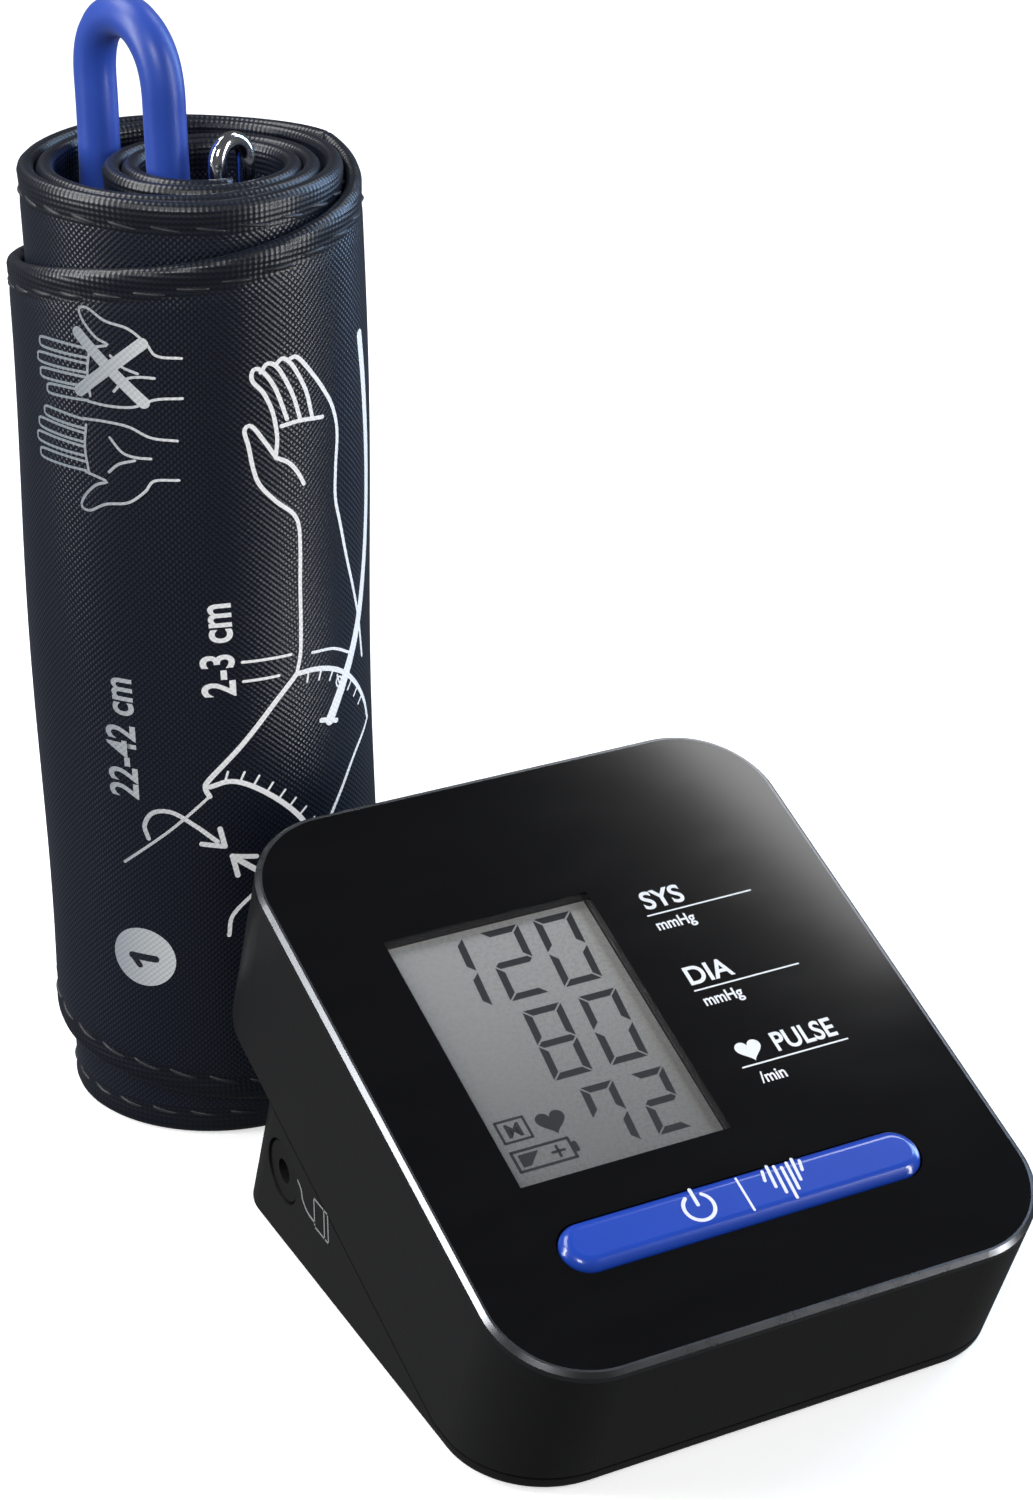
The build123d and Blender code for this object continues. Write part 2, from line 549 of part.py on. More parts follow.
def pump_rotor():
    """The motor's rotor: shaft, wound core with three poles, and the eccentric that drives the diaphragm."""
    start = PUMP_HEAD + (PUMP_CAN - ROTOR_LENGTH) / 2
    rotor = along_pump(6, PUMP_HEAD + PUMP_CAN - 0.4, SHAFT_RADIUS)
    core = along_pump(start, start + ROTOR_LENGTH, ROTOR_RADIUS)
    for turn in (0, 120, 240):
        slot = Pos(start + ROTOR_LENGTH / 2, 0, 0) * Rot(turn, 0, 0) * (
            Pos(0, 0, ROTOR_RADIUS) * Box(ROTOR_LENGTH + 2, 2.4, ROTOR_RADIUS))
        core -= Pos(PUMP_X, PUMP_Y, PUMP_Z) * slot
    return rotor + core + along_pump(6, 6 + ECCENTRIC_LENGTH, ECCENTRIC_RADIUS, ECCENTRIC_OFFSET)


def pump_diaphragm():
    """The rubber diaphragm in front of the eccentric."""
    return along_pump(4.0, 4.9, PUMP_RADIUS - 2.6)


def air_manifold():
    """The block that joins socket, pump, valve and pressure sensor."""
    x, (y, _) = MANIFOLD_X, socket_place()
    top = MANIFOLD_BOTTOM + MANIFOLD_HEIGHT
    block = box_between((x - MANIFOLD_WIDTH / 2, MANIFOLD_FRONT, MANIFOLD_BOTTOM),
                        (x + MANIFOLD_WIDTH / 2, MANIFOLD_FRONT + MANIFOLD_LENGTH, top))
    block = fillet(block.edges().filter_by(Axis.Z), 1.2)
    right = x + MANIFOLD_WIDTH / 2
    for start, end in [
        ((x, y, MANIFOLD_BOTTOM), (x, y, MANIFOLD_BOTTOM - NIPPLE_LENGTH)),
        ((right, PUMP_Y, PUMP_Z), (right + NIPPLE_LENGTH, PUMP_Y, PUMP_Z)),
        ((x, MANIFOLD_FRONT, VALVE_Z), (x, MANIFOLD_FRONT - NIPPLE_LENGTH + 0.5, VALVE_Z)),
        ((x, sensor_y(), top), (x, sensor_y(), top + NIPPLE_LENGTH - 0.5)),
    ]:
        block += rod(start, end, NIPPLE)
    return block


def sensor_y():
    """Y of the manifold's upper outlet, which feeds the pressure sensor."""
    return MANIFOLD_FRONT + MANIFOLD_LENGTH / 2


def sensor_elbow():
    """Where the sensor's tube turns square to the face, and how far it then climbs to the sensor."""
    corner = Vector(MANIFOLD_X, sensor_y(), MANIFOLD_BOTTOM + MANIFOLD_HEIGHT + 4.4)
    local = FACE.to_local_coords(corner)
    climb = -local.Z - (BOARD_DEPTH + BOARD + SENSOR_HEIGHT)
    return corner, local, climb


def pressure_sensor():
    """The sensor under the circuit board, with its nipple pointing down."""
    _, local, _ = sensor_elbow()
    under = BOARD_DEPTH + BOARD
    sensor = face_plate(Rectangle(SENSOR, SENSOR + 2), MANIFOLD_X, local.Y, under, under + SENSOR_HEIGHT)
    return sensor + face_plate(Circle(NIPPLE), MANIFOLD_X, local.Y, under + 1, under + SENSOR_HEIGHT + 3)


def air_tubes():
    """Four short lengths of soft tube, one from the manifold to each thing that it joins."""
    y, z = socket_place()
    x, right = MANIFOLD_X, MANIFOLD_X + MANIFOLD_WIDTH / 2
    corner, _, climb = sensor_elbow()
    shoulder = socket_mouth() + SOCKET_BORE_LENGTH + 1
    runs = {
        "tube_to_socket": [(shoulder, y, z), (x, y, z), (x, y, MANIFOLD_BOTTOM)],
        "tube_to_pump": [(right, PUMP_Y, PUMP_Z), (PUMP_X, PUMP_Y, PUMP_Z)],
        "tube_to_valve": [(x, MANIFOLD_FRONT, VALVE_Z), (x, VALVE_BACK, VALVE_Z)],
        "tube_to_sensor": [(x, sensor_y(), MANIFOLD_BOTTOM + MANIFOLD_HEIGHT), tuple(corner),
                           tuple(corner + FACE.z_dir * climb)],
    }
    return {name: pipe(points, TUBE_RADIUS, TUBE_BORE, TUBE_BEND) for name, points in runs.items()}


def valve_front():
    """Y of the exhaust valve's front end."""
    return VALVE_BACK - VALVE_LENGTH


def valve_body():
    """The solenoid exhaust valve's body, bored for its plunger."""
    x, half = MANIFOLD_X, VALVE_WIDTH / 2
    body = box_between((x - half, valve_front(), VALVE_Z - half), (x + half, VALVE_BACK, VALVE_Z + half))
    body = chamfer(body.edges().filter_by(Axis.Y), 1.0)
    body += rod((x, VALVE_BACK, VALVE_Z), (x, VALVE_BACK + NIPPLE_LENGTH - 0.5, VALVE_Z), NIPPLE)
    return body - rod((x, valve_front() - 1, VALVE_Z), (x, valve_front() + PLUNGER_BORE, VALVE_Z), PLUNGER_RADIUS + RUNNING)


def valve_plunger():
    """The valve's sliding plunger."""
    start = valve_front() + PLUNGER_INSET
    return rod((MANIFOLD_X, start, VALVE_Z), (MANIFOLD_X, start + PLUNGER_LENGTH, VALVE_Z), PLUNGER_RADIUS)


# ---------------------------------------------------------------- cuff: the roll's geometry
def junctions():
    """Where the half turns meet, as signed distances along the split line, from the core outwards."""
    ahead = CORE_RADIUS + LAMINATE / 2 - CORE_OFFSET
    behind = CORE_RADIUS + LAMINATE / 2 + CORE_OFFSET
    pocket = HOSE_POCKET + LAMINATE
    plus = [ahead, ahead + WRAP_PITCH]
    while len(plus) < PAIRS:
        plus.append(plus[-1] + (pocket if len(plus) == 2 else WRAP_PITCH))
    minus = [behind + WRAP_PITCH * i for i in range(PAIRS + 1)]
    return [s for pair in zip([-m for m in minus], plus + [0]) for s in pair][:11]


def half_turns():
    """Each half turn's centre, radius, and first and last direction, winding outwards clockwise."""
    places, turns = junctions(), []
    for k, (a, b) in enumerate(zip(places, places[1:])):
        middle = (a + b) / 2
        first = SPLIT_ANGLE - 180 * (k + 1)
        centre = middle * cos(radians(SPLIT_ANGLE)), middle * sin(radians(SPLIT_ANGLE))
        turns.append((centre, abs(a - b) / 2, first, first - 180))
    return turns


def stretch(first_turn, start, last_turn, end):
    """The half turns between two directions, with the first and the last one cut short."""
    turns = half_turns()[first_turn:last_turn + 1]
    spans = [[c, r, a, b] for c, r, a, b in turns]
    spans[0][2] = spans[0][2] - (spans[0][2] - start) % 360
    spans[-1][3] = spans[-1][2] - (spans[-1][2] - end) % 360
    return spans


def polar(centre, radius, angle):
    """A point at a direction and distance from a centre."""
    return centre[0] + radius * cos(radians(angle)), centre[1] + radius * sin(radians(angle))


def band_length(spans):
    """Length of a stretch of the roll, along its middle surface."""
    return sum(radians(first - last) * radius for _, radius, first, last in spans)


def band(spans, inner, outer, bottom, top):
    """An upright band along the roll, between two offsets from its middle surface."""
    def side(offset):
        return [ThreePointArc(*[polar(c, r + offset, x) for x in (a, (a + b) / 2, b)]) for c, r, a, b in spans]
    far, near = side(outer), side(inner)
    ends = [Line(near[0] @ 0, far[0] @ 0), Line(near[-1] @ 1, far[-1] @ 1)]
    return Pos(0, 0, bottom) * extrude(make_face(far + near + ends), top - bottom)


def tapered_band(spans, inner, outer, margin, travelled):
    """A band whose width shrinks with the distance travelled since the tail began, and that distance at its end."""
    sections = []
    for number, (centre, radius, first, last) in enumerate(spans):
        steps = max(2, round(abs(first - last) / 20))
        for i in range(0 if number == 0 else 1, steps + 1):
            angle = first + (last - first) * i / steps
            gone = travelled + radians(first - angle) * radius
            height = CUFF_HEIGHT * (1 - TAIL_TAPER * gone) - 2 * margin
            middle = polar(centre, radius + (inner + outer) / 2, angle)
            outward = (cos(radians(angle)), sin(radians(angle)), 0)
            clockwise = (outward[1], -outward[0], 0)
            plane = Plane(origin=(*middle, CUFF_HEIGHT / 2), x_dir=outward, z_dir=clockwise)
            sections.append(plane * Rectangle(outer - inner, height))
        travelled += radians(first - last) * radius
    return loft(sections), travelled


def core_centre():
    """Axis of the core in the roll's own axes."""
    return polar((0, 0), -CORE_OFFSET, SPLIT_ANGLE)


def pocket_centre():
    """Middle of the hose pocket in the roll's own axes."""
    return polar((0, 0), junctions()[3] + LAMINATE / 2 + HOSE_POCKET / 2, SPLIT_ANGLE)


# ---------------------------------------------------------------- cuff: pieces, in the roll's own axes
STRIP = stretch(0, STRIP_START, 7, TAIL_START)
TAIL = stretch(7, TAIL_START, 8, FLAP_START)
FLAP = stretch(8, FLAP_START, 9, TAIL_END)


def bladder_room():
    """The four half turns that hold the bladder."""
    return half_turns()[1:5]


def bladder():
    """The flat air bladder between the two fabrics."""
    return band(bladder_room(), -BLADDER / 2, BLADDER / 2, BLADDER_MARGIN, CUFF_HEIGHT - BLADDER_MARGIN)


def port_pipe(radius):
    """The short level pipe from the bladder into the hose pocket."""
    start = polar((0, 0), junctions()[3], SPLIT_ANGLE)
    return rod((*start, PORT_Z), (*pocket_centre(), PORT_Z), radius)


def cuff_outer_fabric():
    """The printed outer fabric, wound with the bladder's pocket and the port's hole in it."""
    fabric = band(STRIP, 0, LAMINATE / 2, 0, CUFF_HEIGHT) - bladder()
    return fabric - port_pipe(PORT_PIPE)


def cuff_inner_fabric():
    """The soft fabric that lies on the arm, on the inside of every turn."""
    return band(STRIP, -LAMINATE / 2, 0, 0, CUFF_HEIGHT) - bladder()


def hose_port():
    """The elbow that leads from the bladder up into the hose."""
    x, y = pocket_centre()
    elbow = rod((x, y, PORT_Z - PORT_RADIUS), (x, y, PORT_Z + PORT_RISE), PORT_RADIUS)
    elbow = fillet(elbow.edges().sort_by(Axis.Z)[0], 1.5)
    return elbow + (port_pipe(PORT_PIPE - RUNNING) - bladder())


def ring_legs():
    """The ring's sewn leg and its free leg."""
    reach = CORE_RADIUS - RING_WIRE - RUNNING - SLEEVE - RUNNING
    sewn = polar(core_centre(), reach, RING_LEG_DIRECTION)
    return sewn, polar(sewn, RING_SPREAD, RING_DIRECTION)


def metal_ring():
    """The long wire loop that the cuff's tail is threaded through."""
    sewn, free = ring_legs()
    half, middle = RING_SPREAD / 2, [(a + b) / 2 for a, b in zip(sewn, free)]
    low, high = RING_BOTTOM + RING_WIRE + half, CUFF_HEIGHT + RING_PROUD - RING_WIRE - half
    loop = rod((*sewn, low), (*sewn, high), RING_WIRE) + rod((*free, low), (*free, high), RING_WIRE)
    across = Vector(free[0] - sewn[0], free[1] - sewn[1], 0)
    for z, side in ((low, -1), (high, 1)):
        section = Plane(origin=(*sewn, z), x_dir=across, z_dir=(0, 0, 1)) * Circle(RING_WIRE)
        turn_axis = Axis((*middle, z), Vector(0, 0, side).cross(across))
        loop += revolve(section, turn_axis, 180)
    return loop


def ring_sleeve():
    """The end of the band, folded round the ring's sewn leg and stitched to the first turn."""
    sewn, _ = ring_legs()
    low = RING_BOTTOM + RING_WIRE + RING_SPREAD / 2 + SLEEVE_MARGIN
    high = CUFF_HEIGHT + RING_PROUD - RING_WIRE - RING_SPREAD / 2 - SLEEVE_MARGIN
    ends = (*sewn, low), (*sewn, high)
    bore = RING_WIRE + RUNNING
    tongue = [(core_centre(), CORE_RADIUS, RING_LEG_DIRECTION, RING_LEG_DIRECTION - 45)]
    wrap = rod(*ends, bore + SLEEVE) + band(tongue, -SLEEVE - RUNNING, -RUNNING, low, high)
    return wrap - rod(*ends, bore)


def hose():
    """The hose, as straight runs joined by arcs, each as large as its two runs allow."""
    points = [Vector(*p) for p in HOSE_ROUTE]
    radii = []
    for a, b, c in zip(points, points[1:], points[2:]):
        turn = radians((b - a).get_angle(c - b))
        radii.append(0.45 * min((b - a).length, (c - b).length) / tan(turn / 2))
    print("hose bend radii:", " ".join(f"{r:.0f}" for r in radii))
    path = FilletPolyline(*points, radius=radii)
    tube = sweep(Plane(origin=path @ 0, z_dir=path % 0) * Circle(HOSE_RADIUS), path=path)
    print(f"hose length {path.length:.1f}, volume over section times length "
          f"{tube.volume / (pi * HOSE_RADIUS ** 2 * path.length):.4f}")
    return tube


def plug(start, length, radius):
    """A round piece on the hose's end, from a distance past the end of the route."""
    end, before = Vector(*HOSE_ROUTE[-1]), Vector(*HOSE_ROUTE[-2])
    along = (end - before).normalized()
    return rod(tuple(end + along * start), tuple(end + along * (start + length)), radius)


def plug_barrel():
    """The plug's grip, with shallow finger grooves."""
    barrel = plug(0, PLUG_LENGTH, PLUG_RADIUS)
    for i in range(4):
        barrel -= plug(5 + 3.5 * i, 1.2, PLUG_RADIUS + 1) - plug(5 + 3.5 * i, 1.2, PLUG_RADIUS - 0.5)
    return barrel


def plug_nozzle():
    """The plug's collar and the nozzle that fits the monitor's air socket."""
    nozzle = plug(PLUG_LENGTH, COLLAR, COLLAR_RADIUS) + plug(PLUG_LENGTH, COLLAR + NOZZLE_LENGTH, NOZZLE_RADIUS)
    return nozzle - plug(PLUG_LENGTH - 1, COLLAR + NOZZLE_LENGTH + 2, NOZZLE_RADIUS / 2)


# ---------------------------------------------------------------- assembly
nodes["upper_case"] = upper_case()
nodes["lower_case"] = lower_case()
nodes["case_screws"] = case_screws()
nodes["rubber_feet"] = rubber_feet()
nodes["faceplate"] = faceplate()
nodes["trim_rim"] = trim_rim()
nodes["display_lens"] = face_plate(window_sketch(-0.1), WINDOW_U, WINDOW_V, LENS_RECESS, LENS_RECESS + LENS)
nodes["display_panel"] = display_panel()
nodes["display_carrier"] = lcd_carrier()
nodes["start_button"] = start_button()
nodes["tact_switches"] = tact_switches()
nodes["circuit_board"] = circuit_board()
nodes["board_chips"] = board_chips()
nodes["pressure_sensor"] = pressure_sensor()
nodes["battery_cells"] = battery_cells()
nodes["battery_contacts"] = battery_contacts()
nodes["battery_springs"] = battery_springs()
nodes["battery_door"] = battery_door()
nodes["air_socket"] = air_socket()
nodes["socket_gasket"] = socket_gasket()
nodes["pump_motor_can"] = pump_motor_can()
nodes["pump_head"] = pump_head()
nodes["pump_magnets"] = pump_magnets()
nodes["pump_rotor"] = pump_rotor()
nodes["pump_diaphragm"] = pump_diaphragm()
nodes["air_manifold"] = air_manifold()
nodes["valve_body"] = valve_body()
nodes["valve_plunger"] = valve_plunger()
nodes.update(air_tubes())

tail_wrap, travelled = tapered_band(TAIL, -TAIL_THICK / 2, TAIL_THICK / 2, 0, 0)
tail_flap, _ = tapered_band(FLAP, -TAIL_THICK / 2, TAIL_THICK / 2, 0, travelled)
before_hook = travelled + band_length(stretch(8, FLAP_START, 9, HOOK_START))
hook_patch, _ = tapered_band(
    stretch(9, HOOK_START, 9, HOOK_END), TAIL_THICK / 2 - 0.2, TAIL_THICK / 2 + HOOK_THICK, HOOK_MARGIN, before_hook)
hook_patch -= tail_flap
cuff = {
    "cuff_outer_fabric": cuff_outer_fabric(),
    "cuff_inner_fabric": cuff_inner_fabric(),
    "bladder": bladder(),
    "hose_port": hose_port(),
    "tail_wrap": tail_wrap,
    "tail_flap": tail_flap,
    "hook_patch": hook_patch,
    "metal_ring": metal_ring(),
    "ring_sleeve": ring_sleeve(),
    "hose": hose(),
    "plug_barrel": plug_barrel(),
    "plug_nozzle": plug_nozzle(),
}
CUFF_PLACE = Pos(CUFF_X, CUFF_Y, 0) * Rot(0, 0, CUFF_TURN)
for name, shape in cuff.items():
    nodes[name] = CUFF_PLACE * shape

# The origin goes to the middle of the footprint, measured without the hose and its plug.
CORD_NODES = ("hose", "plug_barrel", "plug_nozzle")
boxes = [shape.bounding_box() for name, shape in nodes.items() if name not in CORD_NODES]
low = [min(getattr(b.min, axis) for b in boxes) for axis in "XYZ"]
high = [max(getattr(b.max, axis) for b in boxes) for axis in "XYZ"]
to_origin = Pos(-(low[0] + high[0]) / 2, -(low[1] + high[1]) / 2, -low[2])
for name, shape in nodes.items():
    export_step(to_origin * shape, f"parts/{name}.step")


def report(label, point):
    """Prints a place in the finished frame, for the record."""
    moved = to_origin.position + Vector(*point)
    print(f"{label}: {moved.X:.3f}, {moved.Y:.3f}, {moved.Z:.3f}")


def from_roll(x, y, z=0.0):
    """A point of the roll's own axes in the monitor's axes."""
    return tuple((CUFF_PLACE * Pos(x, y, z)).position)


socket_y, socket_z = socket_place()
report("origin shift", (0, 0, 0))
report("face front edge", on_face(0, 0, 0))
report("button pivot", on_face(BUTTON_U, BUTTON_V, button_pivot_depth()))
report("battery door pivot", (BAY_X, door_pivot_y(), BASE + DOOR_PIVOT_RADIUS))
report("pump axis", (PUMP_X, PUMP_Y, PUMP_Z))
report("valve axis", (MANIFOLD_X, valve_front(), VALVE_Z))
report("socket bore middle", (socket_mouth() + SOCKET_BORE_LENGTH / 2, socket_y, socket_z))
report("cuff axis", from_roll(0, 0))
report("ring hinge", from_roll(*ring_legs()[0], CUFF_HEIGHT / 2))
report("flap fold", from_roll(*polar(FLAP[0][0], FLAP[0][1] + TAIL_THICK / 2, FLAP_START), CUFF_HEIGHT / 2))
report("hose exit", from_roll(*HOSE_ROUTE[0]))
report("hose end", from_roll(*HOSE_ROUTE[-1]))
report("plug direction from here", from_roll(*HOSE_ROUTE[-2]))
report("plug nozzle middle", from_roll(*plug(PLUG_LENGTH + COLLAR, NOZZLE_LENGTH, NOZZLE_RADIUS).center()))
print(f"cuff band length {band_length(STRIP + TAIL + FLAP):.0f}")
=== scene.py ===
"""Looks of an upper-arm blood pressure cuff, rolled up on end, and of the desktop monitor beside it.

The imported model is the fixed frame. Drawings and sizes are in millimetres and become metres as they reach a mesh.
The layout's origin is the table point under the front edge of the monitor's sloping face.
"""

import json
import logging
import math
from collections.abc import Callable, Sequence
from dataclasses import dataclass, field
from enum import Enum

import bmesh
import bpy
import numpy as np
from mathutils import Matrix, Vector


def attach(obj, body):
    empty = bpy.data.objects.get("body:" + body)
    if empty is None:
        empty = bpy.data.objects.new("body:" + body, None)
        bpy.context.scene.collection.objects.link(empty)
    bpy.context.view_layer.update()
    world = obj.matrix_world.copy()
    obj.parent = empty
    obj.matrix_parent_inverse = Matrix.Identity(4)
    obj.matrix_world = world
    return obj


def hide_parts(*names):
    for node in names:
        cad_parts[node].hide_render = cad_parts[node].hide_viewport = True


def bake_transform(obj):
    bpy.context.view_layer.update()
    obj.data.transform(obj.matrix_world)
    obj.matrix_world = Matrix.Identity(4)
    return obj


LOG = logging.getLogger("pressure_cuff")
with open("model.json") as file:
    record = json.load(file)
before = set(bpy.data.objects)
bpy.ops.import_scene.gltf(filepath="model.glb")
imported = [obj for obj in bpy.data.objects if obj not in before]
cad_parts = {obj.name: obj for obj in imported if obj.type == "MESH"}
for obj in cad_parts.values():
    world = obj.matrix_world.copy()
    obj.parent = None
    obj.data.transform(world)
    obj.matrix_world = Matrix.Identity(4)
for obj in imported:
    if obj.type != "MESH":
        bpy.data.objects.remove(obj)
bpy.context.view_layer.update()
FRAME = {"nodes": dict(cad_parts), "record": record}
MM = 0.001
SOCKET_IN_LAYOUT = (-43.45, 88.546, 16.419)  # middle of the air socket's bore

Array = np.ndarray
Colour = tuple[float, float, float]
Spot = tuple[float, float, float]
Point = tuple[float, float]
Place = Callable[[Array, float], Array]


def mount_place(name: str) -> Array:
    """Place of one of the record's mounts, in millimetres."""
    return next(np.array(m["pos_m"]) / MM for m in FRAME["record"]["mounts"] if m["name"] == name)


ORIGIN = mount_place("air_socket") - np.array(SOCKET_IN_LAYOUT)


# ---------------------------------------------------------------- shader maths
class Wire:
    """A number that varies over a surface. Python's operators on it add Math nodes."""

    def __init__(self, graph: "Graph", socket: bpy.types.NodeSocket) -> None:
        """Keeps the graph and the socket that gives the number."""
        self.graph, self.socket = graph, socket

    def math(self, operation: str, *values: "Wire | float") -> "Wire":
        """Adds one Math node.

        Args:
            operation: the node's operation.
            values: its inputs, in order.

        Returns:
            The node's result.
        """
        inputs = {i: v for i, v in enumerate(values)}
        return Wire(self.graph, self.graph.node("Math", {"operation": operation}, inputs).outputs[0])

    def __add__(self, other: "Wire | float") -> "Wire":
        """Sum."""
        return self.math("ADD", self, other)

    def __sub__(self, other: "Wire | float") -> "Wire":
        """Difference."""
        return self.math("SUBTRACT", self, other)

    def __rsub__(self, other: float) -> "Wire":
        """Difference from a number."""
        return self.math("SUBTRACT", other, self)

    def __mul__(self, other: "Wire | float") -> "Wire":
        """Product."""
        return self.math("MULTIPLY", self, other)

    __radd__, __rmul__ = __add__, __mul__

    def sine(self) -> "Wire":
        """Sine of a number in radians."""
        return self.math("SINE", self)

    def size(self) -> "Wire":
        """The number without its sign."""
        return self.math("ABSOLUTE", self)

    def step(self, low: float, high: float) -> "Wire":
        """Smooth step from 0 at low to 1 at high."""
        settings = {"interpolation_type": "SMOOTHSTEP"}
        node = self.graph.node("MapRange", settings, {"Value": self, "From Min": low, "From Max": high})
        return Wire(self.graph, node.outputs["Result"])


class Graph:
    """One material's nodes, round a Principled BSDF."""

    def __init__(self, name: str) -> None:
        """Makes an empty material with its shader and output."""
        self.material = bpy.data.materials.new(name)
        self.material.use_nodes = True
        self.tree = self.material.node_tree
        self.tree.nodes.clear()
        self.shader = self.node("BsdfPrincipled")
        self.node("OutputMaterial", {}, {"Surface": self.shader.outputs[0]})

    def node(self, kind: str, settings: dict | None = None, inputs: dict | None = None) -> bpy.types.Node:
        """Adds a node.

        Args:
            kind: the node's type, without its prefix.
            settings: its properties, set before its inputs.
            inputs: socket name or number to a value, a Wire or a socket.

        Returns:
            The new node.
        """
        node = self.tree.nodes.new("ShaderNode" + kind)
        for key, value in (settings or {}).items():
            setattr(node, key, value)
        for key, value in (inputs or {}).items():
            self.feed(node.inputs[key], value)
        return node

    def feed(self, socket: bpy.types.NodeSocket, value: object) -> None:
        """Links a socket, or sets its constant."""
        if isinstance(value, Wire):
            value = value.socket
        if isinstance(value, bpy.types.NodeSocket):
            self.tree.links.new(value, socket)
        elif isinstance(value, tuple) and len(value) == 3 and socket.type == "RGBA":
            socket.default_value = (*value, 1.0)
        else:
            socket.default_value = value

    def place(self) -> bpy.types.NodeSocket:
        """Object coordinates, in metres."""
        return self.node("TexCoord").outputs["Object"]

    def chart(self, name: str) -> tuple[Wire, Wire]:
        """Both coordinates of one of the piece's own UV maps, in metres."""
        parts = self.node("SeparateXYZ", {}, {0: self.node("UVMap", {"uv_map": name}).outputs[0]})
        return Wire(self, parts.outputs[0]), Wire(self, parts.outputs[1])

    def weave(self, along: Wire, up: Wire, wave: float) -> Wire:
        """Product of two sine waves, from -1 to 1: a chequer of raised and sunk spots, as crossing threads make."""
        return (along * wave).sine() * (up * wave).sine()

    def noise(self, size: float, detail: float = 2.0, stretch: Colour = (1.0, 1.0, 1.0)) -> Wire:
        """Noise on object coordinates.

        Args:
            size: size of one patch, in metres.
            detail: number of finer layers.
            stretch: how much each axis is squeezed.

        Returns:
            A number from 0 to 1.
        """
        scaled = self.node("Mapping", {}, {"Vector": self.place(), "Scale": stretch})
        node = self.node("TexNoise", {}, {"Vector": scaled.outputs[0], "Scale": 1 / size, "Detail": detail})
        return Wire(self, node.outputs["Fac"])

    def blend(self, mask: Wire, first: object, second: object) -> bpy.types.NodeSocket:
        """Mixes two colours by a mask."""
        node = self.node("Mix", {"data_type": "RGBA"}, {0: mask, 6: first, 7: second})
        return node.outputs[2]

    def bump(self, height: Wire, depth: float) -> bpy.types.NodeSocket:
        """A normal from a height that runs from 0 to 1, as deep as depth, in metres."""
        return self.node("Bump", {}, {"Height": height, "Distance": depth, "Strength": 1.0}).outputs[0]

    def dress(self, **sockets: object) -> bpy.types.Material:
        """Sets or links the shader's sockets, and gives the material."""
        for name, value in sockets.items():
            self.feed(self.shader.inputs[name.replace("_", " ")], value)
        return self.material


# ---------------------------------------------------------------- finishes
def shade(colour: Colour, factor: float) -> Colour:
    """A colour made lighter or darker."""
    return tuple(min(1.0, c * factor) for c in colour)


@dataclass(frozen=True)
class Moulded:
    """Moulded plastic: faint mottling, a fine eroded grain and slightly rubbed patches."""

    name: str
    colour: Colour
    roughness: float = 0.45
    coat: float = 0.0
    grain: float = 0.00035
    depth: float = 0.00002
    rub: float = 0.08
    shine: float = 0.5

    def make(self) -> bpy.types.Material:
        """Builds the material."""
        graph = Graph(self.name)
        cloud, patch = graph.noise(0.012, 3.0), graph.noise(0.03, 4.0)
        colour = graph.blend(cloud, shade(self.colour, 0.9), shade(self.colour, 1.1))
        return graph.dress(
            Base_Color=colour,
            Roughness=patch * self.rub + (self.roughness - self.rub / 2),
            Normal=graph.bump(graph.noise(self.grain, 1.0), self.depth),
            Coat_Weight=self.coat,
            Coat_Roughness=0.04,
            Specular_IOR_Level=self.shine,
        )


@dataclass(frozen=True)
class GlossPlate:
    """The mirror-like black plate, with a trace of wiping marks."""

    name: str
    colour: Colour
    roughness: float = 0.10

    def make(self) -> bpy.types.Material:
        """Builds the material."""
        graph = Graph(self.name)
        wipes = graph.noise(0.02, 5.0, (1.0, 3.0, 1.0)).step(0.35, 0.75)
        return graph.dress(
            Base_Color=graph.blend(wipes, self.colour, shade(self.colour, 1.25)),
            Roughness=wipes * 0.01 + self.roughness,
            Specular_IOR_Level=0.4,
        )


@dataclass(frozen=True)
class Metalwork:
    """Bare or plated metal, with fine drawn lines along one axis."""

    name: str
    colour: Colour
    roughness: float = 0.3
    drawn: Colour = (1.0, 1.0, 12.0)
    lines: float = 0.000008

    def make(self) -> bpy.types.Material:
        """Builds the material."""
        graph = Graph(self.name)
        streaks = graph.noise(0.004, 4.0, self.drawn)
        return graph.dress(
            Base_Color=graph.blend(streaks, shade(self.colour, 0.88), shade(self.colour, 1.06)),
            Metallic=1.0,
            Roughness=streaks * 0.12 + self.roughness,
            Normal=graph.bump(streaks, self.lines),
        )


@dataclass(frozen=True)
class Rubbery:
    """Soft extruded or moulded rubber, dull with a little bloom."""

    name: str
    colour: Colour
    roughness: float = 0.5
    bloom: float = 0.25

    def make(self) -> bpy.types.Material:
        """Builds the material."""
        graph = Graph(self.name)
        dusty = graph.noise(0.01, 4.0).step(0.4, 0.8)
        return graph.dress(
            Base_Color=graph.blend(dusty * self.bloom, self.colour, shade(self.colour, 1.35)),
            Roughness=dusty * 0.1 + self.roughness,
            Normal=graph.bump(graph.noise(0.0006, 2.0), 0.00002),
            Sheen_Weight=0.08,
            Sheen_Roughness=0.5,
        )


